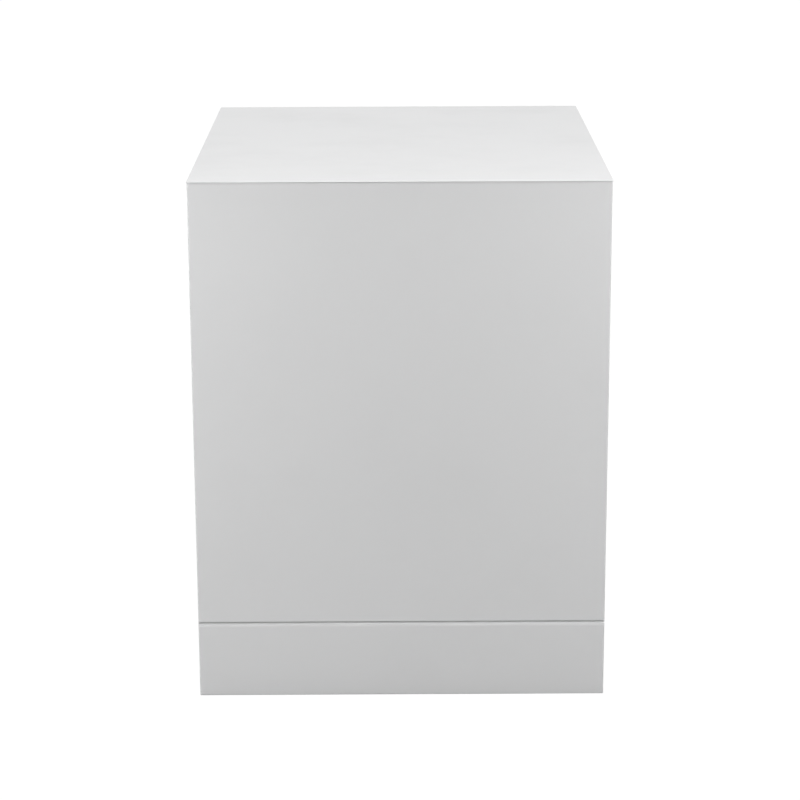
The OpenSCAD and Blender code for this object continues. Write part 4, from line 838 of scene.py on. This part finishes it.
def printScale(middle, knobR, faceX):
    work = bmesh.new()
    steps = dialSet["highest"] - dialSet["lowest"]
    reach = knobR + dialSet["gap"]
    for index in range(steps + 1):
        y, z = dialDirection(index * dialSet["sweep"] / steps)
        addNumber(work, dialSet["lowest"] + index, faceX, middle[0] + y * reach, middle[1] + z * reach)
    bmesh.ops.remove_doubles(work, verts=work.verts, dist=dialSet["joinWithin"])

    start, wide = knobR + dialSet["tickGap"], dialSet["tickWide"] / 2
    tip = wide * dialSet["tickTip"]
    each = dialSet["ticksBetween"] + 1
    for index in range(steps * each + 1):
        stop = start + dialSet["tickLong"] * dialSet["between" if index % each else "atNumber"]
        addRaised(work, [(start, -wide), (stop, -tip), (stop, tip), (start, wide)], middle,
                  index * dialSet["sweep"] / (steps * each),
                  (faceX + dialSet["tickSunk"], faceX - dialSet["proud"]))
    return work


def paintMark(middle, knobR, faceX):
    work = bmesh.new()
    start, stop = knobR * dialSet["markStart"], knobR * dialSet["markEnd"]
    wide = dialSet["markWide"] / 2
    tip = wide * dialSet["markTip"]
    outline = [(start, tip), (start + wide, wide), (stop, wide),
               (stop, -wide), (start + wide, -wide), (start, -tip)]
    addRaised(work, outline, middle, 0, (faceX + dialSet["markDeep"], faceX + dialSet["markShy"]))
    return work


def makeDial():
    knobLow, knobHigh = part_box("thermostat_knob")
    middle = (knobLow[1] + knobHigh[1]) / 2, (knobLow[2] + knobHigh[2]) / 2
    knobR = (knobHigh[2] - knobLow[2]) / 2
    ink = dialPrint()

    scale = printScale(middle, knobR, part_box("thermostat_housing")[0][0])
    bmesh.ops.recalc_face_normals(scale, faces=scale.faces)
    numbers = addPiece("dialNumbers", scale, ink)
    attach(numbers, bodyOf["thermostat_housing"])

    paint = paintMark(middle, knobR, knobLow[0])
    bmesh.ops.recalc_face_normals(paint, faces=paint.faces)
    mark = addPiece("knobMarkPaint", paint, ink)
    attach(mark, bodyOf["thermostat_knob"])


makeDial()
print("thermostat dial made")

# the copper drier, spun down to its two necks, with the rolled grooves that hold its screen

drierSet = {
    "sides": 40, "neck": 3.8 * mm, "neckLong": 8 * mm, "neckEase": 1 * mm, "lip": 0.4 * mm,
    "shoulder": 9 * mm, "shoulderSteps": 7,
    "hold": 0.5 * mm,  # a line this close to each corner keeps the straight wall flat
    "groove": 0.45 * mm, "grooveWide": 1.8 * mm, "grooveShares": (0.3, 0.7),
    "grooveBend": (0.45, 0.7),  # shares of the groove's half width and of its depth
}


def turned(profile, middle, sides):  # a closed shape round a vertical line, from (radius, height) pairs
    work = bmesh.new()
    angles = [i * math.tau / sides for i in range(sides)]
    skinLoops(work, [[work.verts.new((middle[0] + radius * math.cos(a), middle[1] + radius * math.sin(a), z))
                      for a in angles] for radius, z in profile])
    for face in work.faces:
        face.smooth = len(face.verts) == 4
    return work


def drierEnd(low, radius):  # the neck and the shoulder, from the lower end up
    neck, lip = drierSet["neck"], drierSet["lip"]
    neckTop = low + drierSet["neckLong"]
    profile = [(neck - lip, low), (neck, low + lip), (neck, neckTop - drierSet["neckEase"]),
               (neck + lip, neckTop)]
    for step in range(1, drierSet["shoulderSteps"]):  # leaves the neck hollow and meets the body round
        share = step / drierSet["shoulderSteps"]
        swell = (1 - math.cos(share * math.pi)) / 2
        profile.append((neck + lip + (radius - neck - lip) * swell, neckTop + drierSet["shoulder"] * share))
    return profile


def drierGroove(middle, radius):
    half, deep, hold = drierSet["grooveWide"] / 2, drierSet["groove"], drierSet["hold"]
    bendOut, bendIn = drierSet["grooveBend"]
    lower = [(radius, middle - half - hold), (radius, middle - half),
             (radius - deep * bendIn, middle - half * bendOut)]
    return lower + [(radius - deep, middle)] + [(r, 2 * middle - z) for r, z in reversed(lower)]


def makeDrier():
    low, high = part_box("filter_drier")
    radius = (high[0] - low[0]) / 2
    endLong = drierSet["neckLong"] + drierSet["shoulder"]
    lowBody, highBody = low[2] + endLong, high[2] - endLong
    lowerEnd = drierEnd(low[2], radius)
    profile = lowerEnd + [(radius, lowBody), (radius, lowBody + drierSet["hold"])]
    for share in drierSet["grooveShares"]:
        profile += drierGroove(lowBody + (highBody - lowBody) * share, radius)
    profile += [(radius, highBody - drierSet["hold"]), (radius, highBody)]
    profile += [(r, high[2] + low[2] - z) for r, z in reversed(lowerEnd)]
    middle = (low[0] + high[0]) / 2, (low[1] + high[1]) / 2
    piece = addPiece("filterDrierCan", turned(profile, middle, drierSet["sides"]), finishes["copper"])
    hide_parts("filter_drier")
    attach(piece, bodyOf["filter_drier"])


makeDrier()
print("drier made")

# floor

floorSet = {
    "half": 14.0, "tone": 0.35, "roughness": 0.95, "specular": 0.1,
    "lift": 0.92,  # share of the over-lit look
}


def layFloor():
    mesh = bpy.data.meshes.new("studioFloor")
    half = floorSet["half"]
    corners = [(-half, -half, 0), (half, -half, 0), (half, half, 0), (-half, half, 0)]
    mesh.from_pydata(corners, [], [(0, 1, 2, 3)])
    floor = newObject("studioFloor", mesh)
    tone = floorSet["tone"]
    material, tree, shader = newMaterial("studioPaper", {
        "Base Color": (tone, tone, tone, 1), "Roughness": floorSet["roughness"],
        "Specular IOR Level": floorSet["specular"]})
    # the paper looks over-lit, as in a studio, but throws only plain light on the fridge
    glow = place(tree, "ShaderNodeEmission", {"Strength": roomSet["paper"]})
    mixByRay(tree, "Is Camera Ray", shader, glow, "Material Output", floorSet["lift"])
    mesh.materials.append(material)


layFloor()
print("floor laid")
